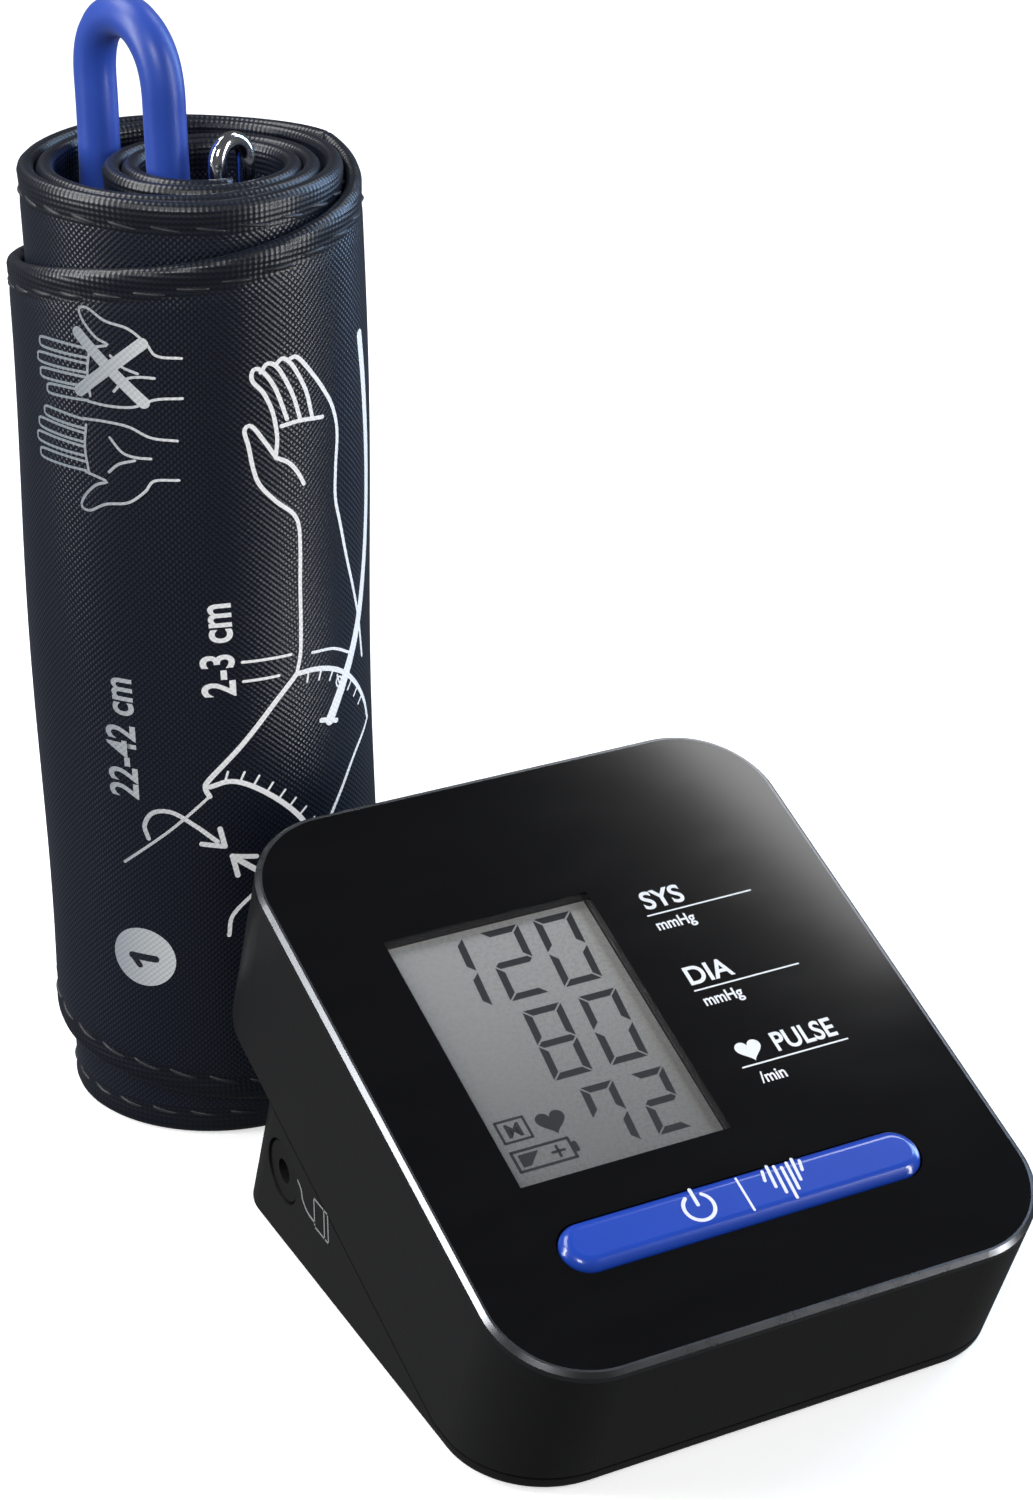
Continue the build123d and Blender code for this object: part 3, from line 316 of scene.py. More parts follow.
@dataclass(frozen=True)
class Woven:
    """Coated woven cloth on the chart "cloth", with a ribbed binding along the edges of the chart "edge"."""

    name: str
    colour: Colour
    thread: float = 0.00108
    binding: float = 0.0052
    rib: float = 0.0009
    depth: float = 0.00009
    roughness: float = 0.36
    sheen: float = 0.03

    def make(self) -> bpy.types.Material:
        """Builds the material: crossing threads stand up where the products of two sine waves do, row by row, and
        their raised tops, like the binding's ribs, get a painted highlight in the base colour.
        """
        graph = Graph(self.name)
        along, up = graph.chart("cloth")
        _, inside = graph.chart("edge")
        wave = 2 * math.pi / self.thread
        over = graph.weave(along, up, wave)
        ribs = (up * (2 * math.pi / self.rib)).sine() * 0.22 + (along * wave * 1.2).sine() * 0.2 + 0.36
        body = inside.step(self.binding - 0.0003, self.binding + 0.0003)
        threads = (over * 0.5 + 0.5) * body + ribs * (1 - body)
        cloud = graph.noise(0.02, 4.0)
        dark = graph.blend(cloud, shade(self.colour, 0.75), shade(self.colour, 1.2))
        return graph.dress(
            # Painted highlight: where threads and ribs stand up, the base colour is five times lighter than the
            # cloth's.
            Base_Color=graph.blend(threads.step(0.45, 1.0), dark, shade(self.colour, 5.0)),
            Roughness=threads * -0.14 + (self.roughness + 0.06),
            Normal=graph.bump(threads, self.depth),
            Sheen_Weight=self.sheen,
            Sheen_Roughness=0.35,
            Sheen_Tint=(0.55, 0.65, 0.9, 1.0),
            Specular_IOR_Level=0.62,
        )


@dataclass(frozen=True)
class HookTape:
    """Closing tape covered with rows of small hooks."""

    name: str
    colour: Colour
    pitch: float = 0.0013

    def make(self) -> bpy.types.Material:
        """Builds the material, with a painted highlight on the hook tops and painted shade between them."""
        graph = Graph(self.name)
        along, up = graph.chart("cloth")
        hooks = graph.weave(along, up, math.pi / self.pitch).size()
        return graph.dress(
            # Painted highlight and shade: the base colour runs from half the tape's colour between the hooks to 2.2
            # times it on their tops.
            Base_Color=graph.blend(hooks, shade(self.colour, 0.5), shade(self.colour, 2.2)),
            Roughness=0.6,
            Normal=graph.bump(hooks, 0.0004),
        )


@dataclass(frozen=True)
class ClothInk:
    """Screen-printed ink on the cloth, thin enough to show the threads, with painted shade that makes it greyer
    towards one side, and a faint painted glow.
    """

    name: str
    lit_colour: Colour
    shaded_colour: Colour
    thread: float = 0.00108

    def make(self) -> bpy.types.Material:
        """Builds the material."""
        graph = Graph(self.name)
        along, up = graph.chart("cloth")
        threads = graph.weave(along, up, 2 * math.pi / self.thread) * 0.5 + 0.5
        # Painted shade: the ink runs from its lit colour on the right of the wrap to a greyer shaded colour on its
        # left.
        tone = graph.blend(along.step(-0.022, 0.012), self.shaded_colour, self.lit_colour)
        return graph.dress(
            Base_Color=graph.blend(threads * 0.3, tone, shade(self.shaded_colour, 0.55)),
            Roughness=0.6,
            Normal=graph.bump(threads, 0.00005),
            # Painted glow: the ink gives off its own colour at strength 0.22, though it is no lamp.
            Emission_Color=tone,
            Emission_Strength=0.22,
        )


@dataclass(frozen=True)
class PlainInk:
    """Printed ink on a smooth surface, with a faintly uneven film."""

    name: str
    colour: Colour
    roughness: float = 0.35

    def make(self) -> bpy.types.Material:
        """Builds the material."""
        graph = Graph(self.name)
        film = graph.noise(0.0015, 3.0)
        return graph.dress(
            Base_Color=graph.blend(film, shade(self.colour, 0.88), self.colour), Roughness=film * 0.1 + self.roughness
        )


@dataclass(frozen=True)
class DisplayGlass:
    """The grey liquid crystal panel, with painted light that makes it lighter towards the back of the sloping face,
    and a faint painted glow.
    """

    name: str
    near: Colour
    far: Colour
    start: float
    end: float

    def make(self) -> bpy.types.Material:
        """Builds the material."""
        graph = Graph(self.name)
        height = Wire(graph, graph.node("SeparateXYZ", {}, {0: graph.place()}).outputs[1])
        grain = graph.noise(0.0008, 2.0)
        # Painted light: the panel's colour runs from the darker near colour at the front of the face to the lighter
        # far colour at its back.
        tone = graph.blend(height.step(self.start, self.end), self.near, self.far)
        return graph.dress(
            Base_Color=graph.blend(grain * 0.1, tone, shade(self.near, 0.8)),
            Roughness=grain * 0.05 + 0.25,
            # Painted glow: the panel gives off its own colour at strength 0.2, though it is no lamp.
            Emission_Color=tone,
            Emission_Strength=0.2,
        )


@dataclass(frozen=True)
class ClearLens:
    """The clear window over the display."""

    name: str

    def make(self) -> bpy.types.Material:
        """Builds the material."""
        graph = Graph(self.name)
        smudge = graph.noise(0.02, 4.0).step(0.5, 0.9)
        return graph.dress(Base_Color=(0.12, 0.12, 0.125), Roughness=smudge * 0.06 + 0.04, Alpha=0.05)


class Finish(Enum):
    """Every finish of the set."""

    CASE = Moulded("case_charcoal", (0.0105, 0.0107, 0.0115), 0.36, grain=0.0005, depth=0.00003, shine=0.36)
    DOOR = Moulded("door_charcoal", (0.0095, 0.0097, 0.0105), 0.42, grain=0.0005, depth=0.00003, shine=0.3)
    PLATE = GlossPlate("plate_black", (0.0025, 0.0025, 0.003))
    RIM = Metalwork("rim_grey", (0.15, 0.155, 0.165), 0.22, (1.0, 1.0, 1.0))
    BUTTON = Moulded("rocker_blue", (0.012, 0.055, 0.40), 0.25, 0.5, 0.004, 0.00001, 0.05)
    PALE = Moulded("pale_plastic", (0.62, 0.62, 0.60), 0.5)
    SOCKET = Moulded("socket_black", (0.0065, 0.0067, 0.0075), 0.35)
    PLUG = Moulded("plug_grey", (0.30, 0.31, 0.33), 0.42)
    CHIP = Moulded("moulded_chip", (0.015, 0.015, 0.017), 0.55)
    BOARD = Moulded("board_green", (0.012, 0.11, 0.045), 0.35, 0.3)
    CELL = Moulded("cell_wrap", (0.10, 0.105, 0.12), 0.3, 0.4)
    STEEL = Metalwork("plated_steel", (0.52, 0.52, 0.53), 0.3)
    NICKEL = Metalwork("nickel_contact", (0.62, 0.61, 0.57), 0.25)
    COPPER = Metalwork("winding_copper", (0.50, 0.22, 0.09), 0.35, (40.0, 1.0, 1.0))
    CHROME = Metalwork("polished_wire", (0.80, 0.82, 0.85), 0.05, (1.0, 1.0, 1.0), 0.000002)
    FOOT = Rubbery("foot_rubber", (0.018, 0.018, 0.018), 0.75)
    TUBE = Rubbery("silicone_tube", (0.60, 0.60, 0.56), 0.35)
    HOSE = Rubbery("hose_blue", (0.022, 0.068, 0.40), 0.36, 0.2)
    BLADDER = Rubbery("bladder_film", (0.14, 0.15, 0.17), 0.4)
    CLOTH = Woven("navy_cloth", (0.0026, 0.0044, 0.0095))
    LINING = Woven("soft_lining", (0.010, 0.012, 0.017), thread=0.0006, roughness=0.75, sheen=0.3)
    HOOKS = HookTape("hook_tape", (0.012, 0.012, 0.014))
    THREAD = Rubbery("sewing_thread", (0.010, 0.012, 0.018), 0.45)
    # Each ink's second colour is its painted shade, which it takes on the left of the wrap.
    CLOTH_INK = ClothInk("cloth_ink", (0.92, 0.93, 0.94), (0.20, 0.23, 0.26))
    DARK_INK = ClothInk("dark_ink", (0.008, 0.011, 0.02), (0.006, 0.008, 0.015))
    FACE_INK = PlainInk("face_ink", (0.80, 0.81, 0.83))
    ICON_INK = PlainInk("icon_ink", (0.74, 0.77, 0.90))
    WALL_INK = PlainInk("wall_ink", (0.34, 0.345, 0.355))
    SEGMENT = PlainInk("segment_black", (0.006, 0.006, 0.007), 0.7)
    LENS = ClearLens("clear_lens")

    def get(self) -> bpy.types.Material:
        """The finish's material, built once."""
        return bpy.data.materials.get(self.value.name) or self.value.make()


# ---------------------------------------------------------------- mesh builders
def grid_faces(rows: int, columns: int, closed: bool) -> Array:
    """Quads of a grid, stored row by row.

    Args:
        rows: points in the first direction.
        columns: points in the second direction.
        closed: whether the second direction joins its own start.

    Returns:
        Four vertex numbers a face.
    """
    across = np.arange(columns if closed else columns - 1)
    first = np.arange(rows - 1)[:, None] * columns
    near, far = first + across, first + (across + 1) % columns
    return np.stack([near, far, far + columns, near + columns], axis=-1).reshape(-1, 4)


def tube_faces(rows: int, columns: int) -> list[list[int]]:
    """Faces of a tube stored ring by ring: its quads, then one flat cap at each end."""
    ring = np.arange(columns)
    caps = [ring[::-1].tolist(), (ring + (rows - 1) * columns).tolist()]
    return grid_faces(rows, columns, True).tolist() + caps


def cloth_charts(along: Array, up: Array, inside: Array) -> dict[str, Array]:
    """UV maps of a cloth piece: its place on the cloth, and its distance from the nearest edge."""
    pairs = {"cloth": (along, up), "edge": (along, inside)}
    return {chart: np.stack(pair, axis=-1).reshape(-1, 2) for chart, pair in pairs.items()}


def piece(
    name: str, points: Array, faces: Sequence, finish: Finish, body: str, charts: dict[str, Array] | None = None
) -> bpy.types.Object:
    """Puts a surface into a new object that rides on a body.

    Args:
        name: the piece's name.
        points: its vertices, in millimetres in the row frame.
        faces: vertex numbers of each face, turned outwards.
        finish: its finish.
        body: the body that it rides on, or nothing if it is blended.
        charts: UV maps by name, two numbers a vertex, in millimetres.

    Returns:
        The new object.
    """
    mesh = bpy.data.meshes.new(name)
    mesh.from_pydata((points * MM).tolist(), [], [list(map(int, f)) for f in faces])
    corners = np.zeros(len(mesh.loops), dtype=np.int32)
    mesh.loops.foreach_get("vertex_index", corners)
    for chart, flat in (charts or {}).items():
        mesh.uv_layers.new(name=chart).data.foreach_set("uv", (flat[corners] * MM).astype(np.float32).ravel())
    mesh.shade_smooth()
    mesh.materials.append(finish.get())
    made = bpy.data.objects.new(name, mesh)
    bpy.context.scene.collection.objects.link(made)
    if body:
        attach(made, body)
    LOG.info("%s: %d faces on %s", name, len(mesh.polygons), body or "a blend")
    return made


def smooth_line(points: Array, spacing: float) -> Array:
    """Evenly spaced points on a curve through the given ones: each span is a cubic with its neighbours' slope.

    Args:
        points: corner points, one a row.
        spacing: distance between the new points.

    Returns:
        The new points, one a row.
    """
    if len(points) == 2:
        steps = max(2, round(float(np.linalg.norm(points[1] - points[0])) / spacing) + 1)
        return points[0] + np.linspace(0, 1, steps)[:, None] * (points[1] - points[0])
    padded = np.vstack([2 * points[0] - points[1], points, 2 * points[-1] - points[-2]])
    a, b, c, d = (padded[i : len(padded) - 3 + i, None, :] for i in range(4))
    t = np.linspace(0, 1, 13)[None, :-1, None]
    curve = 0.5 * (2 * b + (c - a) * t + (2 * a - 5 * b + 4 * c - d) * t**2 + (3 * b - a - 3 * c + d) * t**3)
    curve = np.vstack([curve.reshape(-1, points.shape[1]), points[-1]])
    travelled = np.concatenate([[0], np.cumsum(np.linalg.norm(np.diff(curve, axis=0), axis=1))])
    even = np.linspace(0, travelled[-1], max(2, round(travelled[-1] / spacing) + 1))
    return np.stack([np.interp(even, travelled, column) for column in curve.T], axis=1)


@dataclass
class Pen:
    """Draws printed lines, shapes and words on a surface, as one thin film."""

    place: Place
    rise: float = 0.04
    points: list[Array] = field(default_factory=list)
    faces: list[list[int]] = field(default_factory=list)

    def add(self, flat: Array, faces: Sequence) -> None:
        """Adds a flat shape in the drawing's own millimetres."""
        start = sum(len(p) for p in self.points)
        self.points.append(flat)
        self.faces.extend([[int(v) + start for v in f] for f in faces])

    def stroke(self, width: float, *corners: Point, straight: bool = False) -> None:
        """Draws a line: a strip to each side of a smooth curve, narrowed as a half circle at its ends.

        Args:
            width: the line's width.
            corners: points that the line goes through.
            straight: whether the runs between them are straight.
        """
        if straight and len(corners) > 2:
            for pair in zip(corners, corners[1:]):
                self.stroke(width, *pair)
            return
        line, half = smooth_line(np.array(corners, float), 0.45), width / 2
        slope = np.gradient(line, axis=0)
        slope /= np.linalg.norm(slope, axis=1, keepdims=True)
        back = np.cos(np.linspace(0, math.pi / 2, 6))[:, None] * half
        line = np.vstack([line[0] - slope[0] * back[:-1], line, (line[-1] + slope[-1] * back[:-1])[::-1]])
        slope = np.vstack([np.repeat(slope[:1], 5, 0), slope, np.repeat(slope[-1:], 5, 0)])
        ends = np.sqrt(np.maximum(half**2 - back[:-1, 0] ** 2, 0))
        reach = np.concatenate([ends, np.full(len(line) - 10, half), ends[::-1]])
        across = np.linspace(-1, 1, max(2, math.ceil(width / 0.8) + 1))
        side = np.stack([slope[:, 1], -slope[:, 0]], axis=1)
        flat = line[:, None, :] + side[:, None, :] * (reach[:, None] * across)[:, :, None]
        faces = grid_faces(len(line), len(across), False)[:, ::-1]
        self.add(flat.reshape(-1, 2), faces)

    def box(self, width: float, left: float, low: float, right: float, high: float) -> None:
        """Draws the outline of a rectangle."""
        self.stroke(width, (left, low), (right, low), (right, high), (left, high), (left, low), straight=True)

    def shape(self, outline: Array) -> None:
        """Fills an outline that its middle sees all of: rings shrink from it to the middle.

        Args:
            outline: points anticlockwise round the shape, one a row.
        """
        middle = (outline.min(axis=0) + outline.max(axis=0)) / 2
        rings = np.linspace(1, 0.02, 7)[:, None, None]
        flat = middle + (outline - middle)[None] * rings
        count = len(outline)
        faces = grid_faces(7, count, True).tolist() + [[6 * count + i for i in range(count)]]
        self.add(flat.reshape(-1, 2), faces)

    def panel(self, *corners: Point) -> None:
        """Fills a small polygon, anticlockwise."""
        self.add(np.array(corners, float), [range(len(corners))])

    def words(self, text: str, at: Point, height: float, narrow: float = 0.8, turn: float = 0.0) -> None:
        """Writes generic words, cut fine enough to follow a curved surface.

        Args:
            text: what is written.
            at: the middle of the words.
            height: height of a capital letter.
            narrow: width of the letters against the plain font's.
            turn: anticlockwise turn, in degrees.
        """
        curve = bpy.data.curves.new("lettering", "FONT")
        curve.body, curve.size, curve.offset = text, height / 0.7, height * 0.03
        writer = bpy.data.objects.new("lettering", curve)
        bpy.context.scene.collection.objects.link(writer)
        mesh = bpy.data.meshes.new_from_object(writer.evaluated_get(bpy.context.evaluated_depsgraph_get()))
        cut = bmesh.new()
        cut.from_mesh(mesh)
        for _ in range(3):
            long_edges = [e for e in cut.edges if e.calc_length() > 1.3]
            bmesh.ops.subdivide_edges(cut, edges=long_edges, cuts=1)
            bmesh.ops.triangulate(cut, faces=cut.faces[:])
        cut.verts.index_update()
        flat = np.array([v.co[:2] for v in cut.verts]) * (narrow, 1)
        faces = [[v.index for v in f.verts][:: 1 if f.normal.z > 0 else -1] for f in cut.faces]
        cut.free()
        bpy.data.objects.remove(writer)
        bpy.data.curves.remove(curve)
        bpy.data.meshes.remove(mesh)
        flat -= (flat.min(axis=0) + flat.max(axis=0)) / 2
        c, s = math.cos(math.radians(turn)), math.sin(math.radians(turn))
        self.add(flat @ np.array([[c, s], [-s, c]]) + at, faces)

    def print(self, name: str, finish: Finish, body: str) -> bpy.types.Object:
        """Puts everything drawn onto the surface as one piece."""
        flat = np.vstack(self.points)
        return piece(name, self.place(flat, self.rise), self.faces, finish, body, {"cloth": flat})


def heart(at: Point, width: float) -> Array:
    """Outline of a heart: x is the sine's cube, y a sum of cosines, anticlockwise."""
    t = np.linspace(0, 2 * math.pi, 48, endpoint=False)
    x = -16 * np.sin(t) ** 3
    y = 13 * np.cos(t) - 5 * np.cos(2 * t) - 2 * np.cos(3 * t) - np.cos(4 * t)
    return np.stack([x, y], axis=1) * width / 32 + at


# ---------------------------------------------------------------- monitor
@dataclass(frozen=True)
class Monitor:
    """The desktop monitor: finishes for its carried-over solids, and all that is printed or shown on it."""

    tilt: float = 21.3
    front_height: float = 28.8
    half_width: float = 48.0
    button_proud: float = 1.4
    display_depth: float = 2.1
    segment: float = 1.28
    lean: float = 0.08
    finishes: dict[Finish, str] = field(
        default_factory=lambda: {
            Finish.CASE: "upper_case lower_case",
            Finish.DOOR: "battery_door",
            Finish.STEEL: "case_screws pump_motor_can valve_plunger",
            Finish.FOOT: "rubber_feet socket_gasket pump_diaphragm",
            Finish.PLATE: "faceplate",
            Finish.RIM: "trim_rim",
            Finish.LENS: "display_lens",
            Finish.PALE: "display_carrier pressure_sensor pump_head air_manifold",
            Finish.BUTTON: "start_button",
            Finish.CHIP: "tact_switches board_chips pump_magnets valve_body",
            Finish.BOARD: "circuit_board",
            Finish.CELL: "battery_cells",
            Finish.NICKEL: "battery_contacts battery_springs",
            Finish.SOCKET: "air_socket",
            Finish.COPPER: "pump_rotor",
            Finish.TUBE: "tube_to_socket tube_to_pump tube_to_valve tube_to_sensor",
        }
    )

    def on_face(self, flat: Array, rise: float) -> Array:
        """Places a drawing on the sloping face: x across, y up the slope, and rise square to it."""
        c, s = math.cos(math.radians(self.tilt)), math.sin(math.radians(self.tilt))
        up, out = np.array([0, c, s]), np.array([0, -s, c])
        base = ORIGIN + (0, 0, self.front_height)
        return base + flat[:, :1] * (1, 0, 0) + flat[:, 1:] * up + out * rise

    def on_left_wall(self, flat: Array, rise: float) -> Array:
        """Places a drawing on the left wall: x towards the front, y upwards."""
        x = np.full(len(flat), -self.half_width - rise)
        return ORIGIN + np.stack([x, -flat[:, 0], flat[:, 1]], axis=1)

    def dress(self) -> None:
        """Gives each carried-over solid its finish."""
        for finish, nodes in self.finishes.items():
            repaint(nodes, finish.get())
        y = ORIGIN[1] * MM
        # The display panel's two colours are painted light: darker at the front of the sloping face, lighter at its
        # back.
        panel = DisplayGlass("display_grey", (0.125, 0.125, 0.122), (0.265, 0.265, 0.258), y + 0.03, y + 0.085)
        repaint("display_panel", panel.make())

    def digit(self, pen: Pen, figure: str, left: float, low: float, width: float, height: float) -> None:
        """Draws one seven-segment figure with mitred bars.

        Args:
            pen: the pen to draw with.
            figure: a decimal digit.
            left, low: its lower left corner.
            width, height: its size.
        """
        lit = {"0": "abcdef", "1": "bc", "2": "abged", "7": "abcf", "8": "abcdefg"}[figure]
        t, gap = self.segment, 0.22
        right, top, middle = left + width, low + height, low + height / 2

        def bar(x0: float, y0: float, x1: float, y1: float, inner: float) -> None:
            """One bar between two corners, with its ends cut at 45 degrees towards the figure's inside."""
            if y0 == y1:
                corners = [(x0 + gap, y0), (x1 - gap, y0), (x1 - gap - t, y0 + inner), (x0 + gap + t, y0 + inner)]
            else:
                corners = [(x0, y0 + gap), (x0 + inner, y0 + gap + t), (x0 + inner, y1 - gap - t), (x0, y1 - gap)]
            sheared = [(x + self.lean * (y - low), y) for x, y in corners]
            area = sum(a[0] * b[1] - b[0] * a[1] for a, b in zip(sheared, sheared[1:] + sheared[:1]))
            pen.panel(*(sheared if area > 0 else sheared[::-1]))

        bars = {
            "a": (left, top, right, top, -t),
            "d": (left, low, right, low, t),
            "f": (left, middle, left, top, t),
            "e": (left, low, left, middle, t),
            "b": (right, middle, right, top, -t),
            "c": (right, low, right, middle, -t),
        }
        for name in lit:
            if name == "g":
                ends = [(left + gap + t / 2, middle - t / 2), (right - gap - t / 2, middle - t / 2)]
                ends += [(right - gap, middle), (right - gap - t / 2, middle + t / 2)]
                ends += [(left + gap + t / 2, middle + t / 2), (left + gap, middle)]
                pen.panel(*[(x + self.lean * (y - low), y) for x, y in ends])
            else:
                bar(*bars[name])

    def readings(self) -> None:
        """Draws the display's three readings and its small signs, just above the panel."""
        pen = Pen(self.on_face, 0.03 - self.display_depth)
        for text, left, low, width, height, pitch in (
            ("20", -16.7, 70.2, 7.0, 14.7, 9.8),
            ("80", -17.1, 53.3, 6.9, 14.4, 10.1),
            ("72", -15.0, 38.4, 5.9, 12.3, 9.1),
        ):
            for i, figure in enumerate(text):
                self.digit(pen, figure, left + i * pitch, low, width, height)
        self.digit(pen, "1", -26.9, 70.2, 7.0, 14.7)
        left, low, right, high = -30.0, 44.5, -25.2, 48.6
        pen.box(0.45, left, low, right, high)
        pen.words("M", ((left + right) / 2, (low + high) / 2), 2.6, 1.0)
        pen.shape(heart((-21.1, 46.3), 5.0))
        left, low, right, high = -30.0, 38.8, -20.2, 42.6
        pen.box(0.5, left, low, right, high)
        pen.stroke(0.9, (right + 0.6, low + 1.3), (right + 0.6, high - 1.3))
        pen.stroke(0.5, (-23.6, 40.7), (-21.6, 40.7))
        pen.stroke(0.5, (-22.6, 39.7), (-22.6, 41.7))
        left, low, high = left + 0.8, low + 0.7, high - 0.7
        pen.panel((left, low), (left + 1.4, low), (left + 3.6, high), (left, high))
        pen.print("display_segments", Finish.SEGMENT, "monitor")

    def labels(self) -> None:
        """Prints the readings' generic names beside the display."""
        pen = Pen(self.on_face)
        for word, unit, line in (("SYS", "mmHg", 78.35), ("DIA", "mmHg", 61.5), ("PULSE", "/min", 44.85)):
            pen.stroke(0.3, (12.2, line), (31.8, line))
            at = 25.2 if word == "PULSE" else 16.4
            pen.words(word, (at, line + 3.1), 3.7, 0.95 if word != "PULSE" else 0.82)
            pen.words(unit, (16.2, line - 2.7), 2.2, 0.85)
        pen.shape(heart((15.0, 47.9), 4.6))
        pen.print("face_labels", Finish.FACE_INK, "monitor")

    def button_signs(self) -> None:
        """Prints the power sign, the divider and the striped heart on the rocker."""
        pen = Pen(self.on_face, self.button_proud + 0.03)
        x, y = -8.3, 22.0
        ring = np.radians(np.linspace(125, 415, 15))
        pen.stroke(0.62, *[(x + 2.5 * math.cos(a), y + 2.5 * math.sin(a)) for a in ring])
        pen.stroke(0.62, (x, y + 0.4), (x, y + 3.3))
        pen.stroke(0.42, (-0.3, 18.7), (-0.3, 24.9))
        x, y = 7.5, 22.3
        half = ((0.6, 1.9), (-0.6, 2.4), (-1.7, 2.1))
        for i, (low, high) in enumerate((*half, (-2.8, 1.7), *half[::-1])):
            middle = x + (i - 3) * 1.12
            pen.stroke(0.55, (middle - 0.2, y + 1.3 * low), (middle + 0.2, y + 1.3 * high))
        pen.print("button_signs", Finish.ICON_INK, "button")

    def socket_sign(self) -> None:
        """Prints the outline of a cuff and its hose by the air socket."""
        pen = Pen(self.on_left_wall)
        x, y = -75.6, 13.2
        pen.box(0.4, x, y, x + 5.4, y + 5.6)
        pen.stroke(0.4, (x + 3.9, y), (x + 3.9, y + 5.6))
        pen.stroke(0.5, (x, y + 0.9), (x - 2.6, y + 1.1), (x - 4.6, y + 2.4), (x - 5.2, y + 4.2), (x - 6.4, y + 5.2))
        pen.print("socket_sign", Finish.WALL_INK, "monitor")

    def build(self) -> None:
        """Dresses the solids and prints the drawings."""
        self.dress()
        self.readings()
        self.labels()
        self.button_signs()
        self.socket_sign()


def repaint(nodes: str, material: bpy.types.Material) -> None:
    """Gives carried-over solids, named with spaces between them, one finish."""
    for node in nodes.split():
        for slot in FRAME["nodes"][node].material_slots:
            slot.material = material


# ---------------------------------------------------------------- cuff
@dataclass(frozen=True)
class Spiral:
    """Path of the rolled band: half turns of growing radius, joined on one line through the roll's axis."""

    core: float = 10.5
    offset: float = 4.25
    laminate: float = 2.7
    pitch: float = 3.1
    pocket: float = 8.8
    split: float = 150.0
    start: float = -62.0

    def arcs(self) -> Array:
        """Each half turn's centre, radius, first direction and the distance at which it starts."""
        ahead = [self.core + self.laminate / 2 - self.offset]
        for step in (self.pitch, self.pocket + self.laminate, self.pitch, self.pitch, self.pitch):
            ahead.append(ahead[-1] + step)
        behind = self.core + self.laminate / 2 + self.offset
        places = [p for i in range(6) for p in (-behind - i * self.pitch, ahead[i])][:11]
        a, b = np.array(places[:-1]), np.array(places[1:])
        first = self.split - 180.0 * (np.arange(10) + 1)
        first[0] = self.start
        radius = np.abs(a - b) / 2
        swept = np.full(10, 180.0)
        swept[0] = 180.0 - (self.split - 180.0 - self.start)
        begin = np.concatenate([[0], np.cumsum(np.radians(swept) * radius)[:-1]])
        line = np.radians(self.split)
        return np.stack([(a + b) / 2 * np.cos(line), (a + b) / 2 * np.sin(line), radius, first, begin], axis=1)

    def reach(self, turn: int, direction: float) -> float:
        """Distance along the band to a direction on one of the half turns."""
        _, _, radius, first, begin = self.arcs()[turn]
        return begin + math.radians((first - direction) % 360) * radius

    def follow(self, distance: Array) -> tuple[Array, Array]:
        """Where the band's middle surface is.

        Args:
            distance: distances along the band from its inner end.

        Returns:
            Points and outward directions in the roll's own axes, two numbers each.
        """
        arcs = self.arcs()
        turn = np.clip(np.searchsorted(arcs[:, 4], distance, side="right") - 1, 0, 9)
        x, y, radius, first, begin = np.moveaxis(arcs[turn], -1, 0)
        angle = np.radians(first) - (distance - begin) / radius
        out = np.stack([np.cos(angle), np.sin(angle)], axis=-1)
        return np.stack([x, y], axis=-1) + out * radius[..., None], out


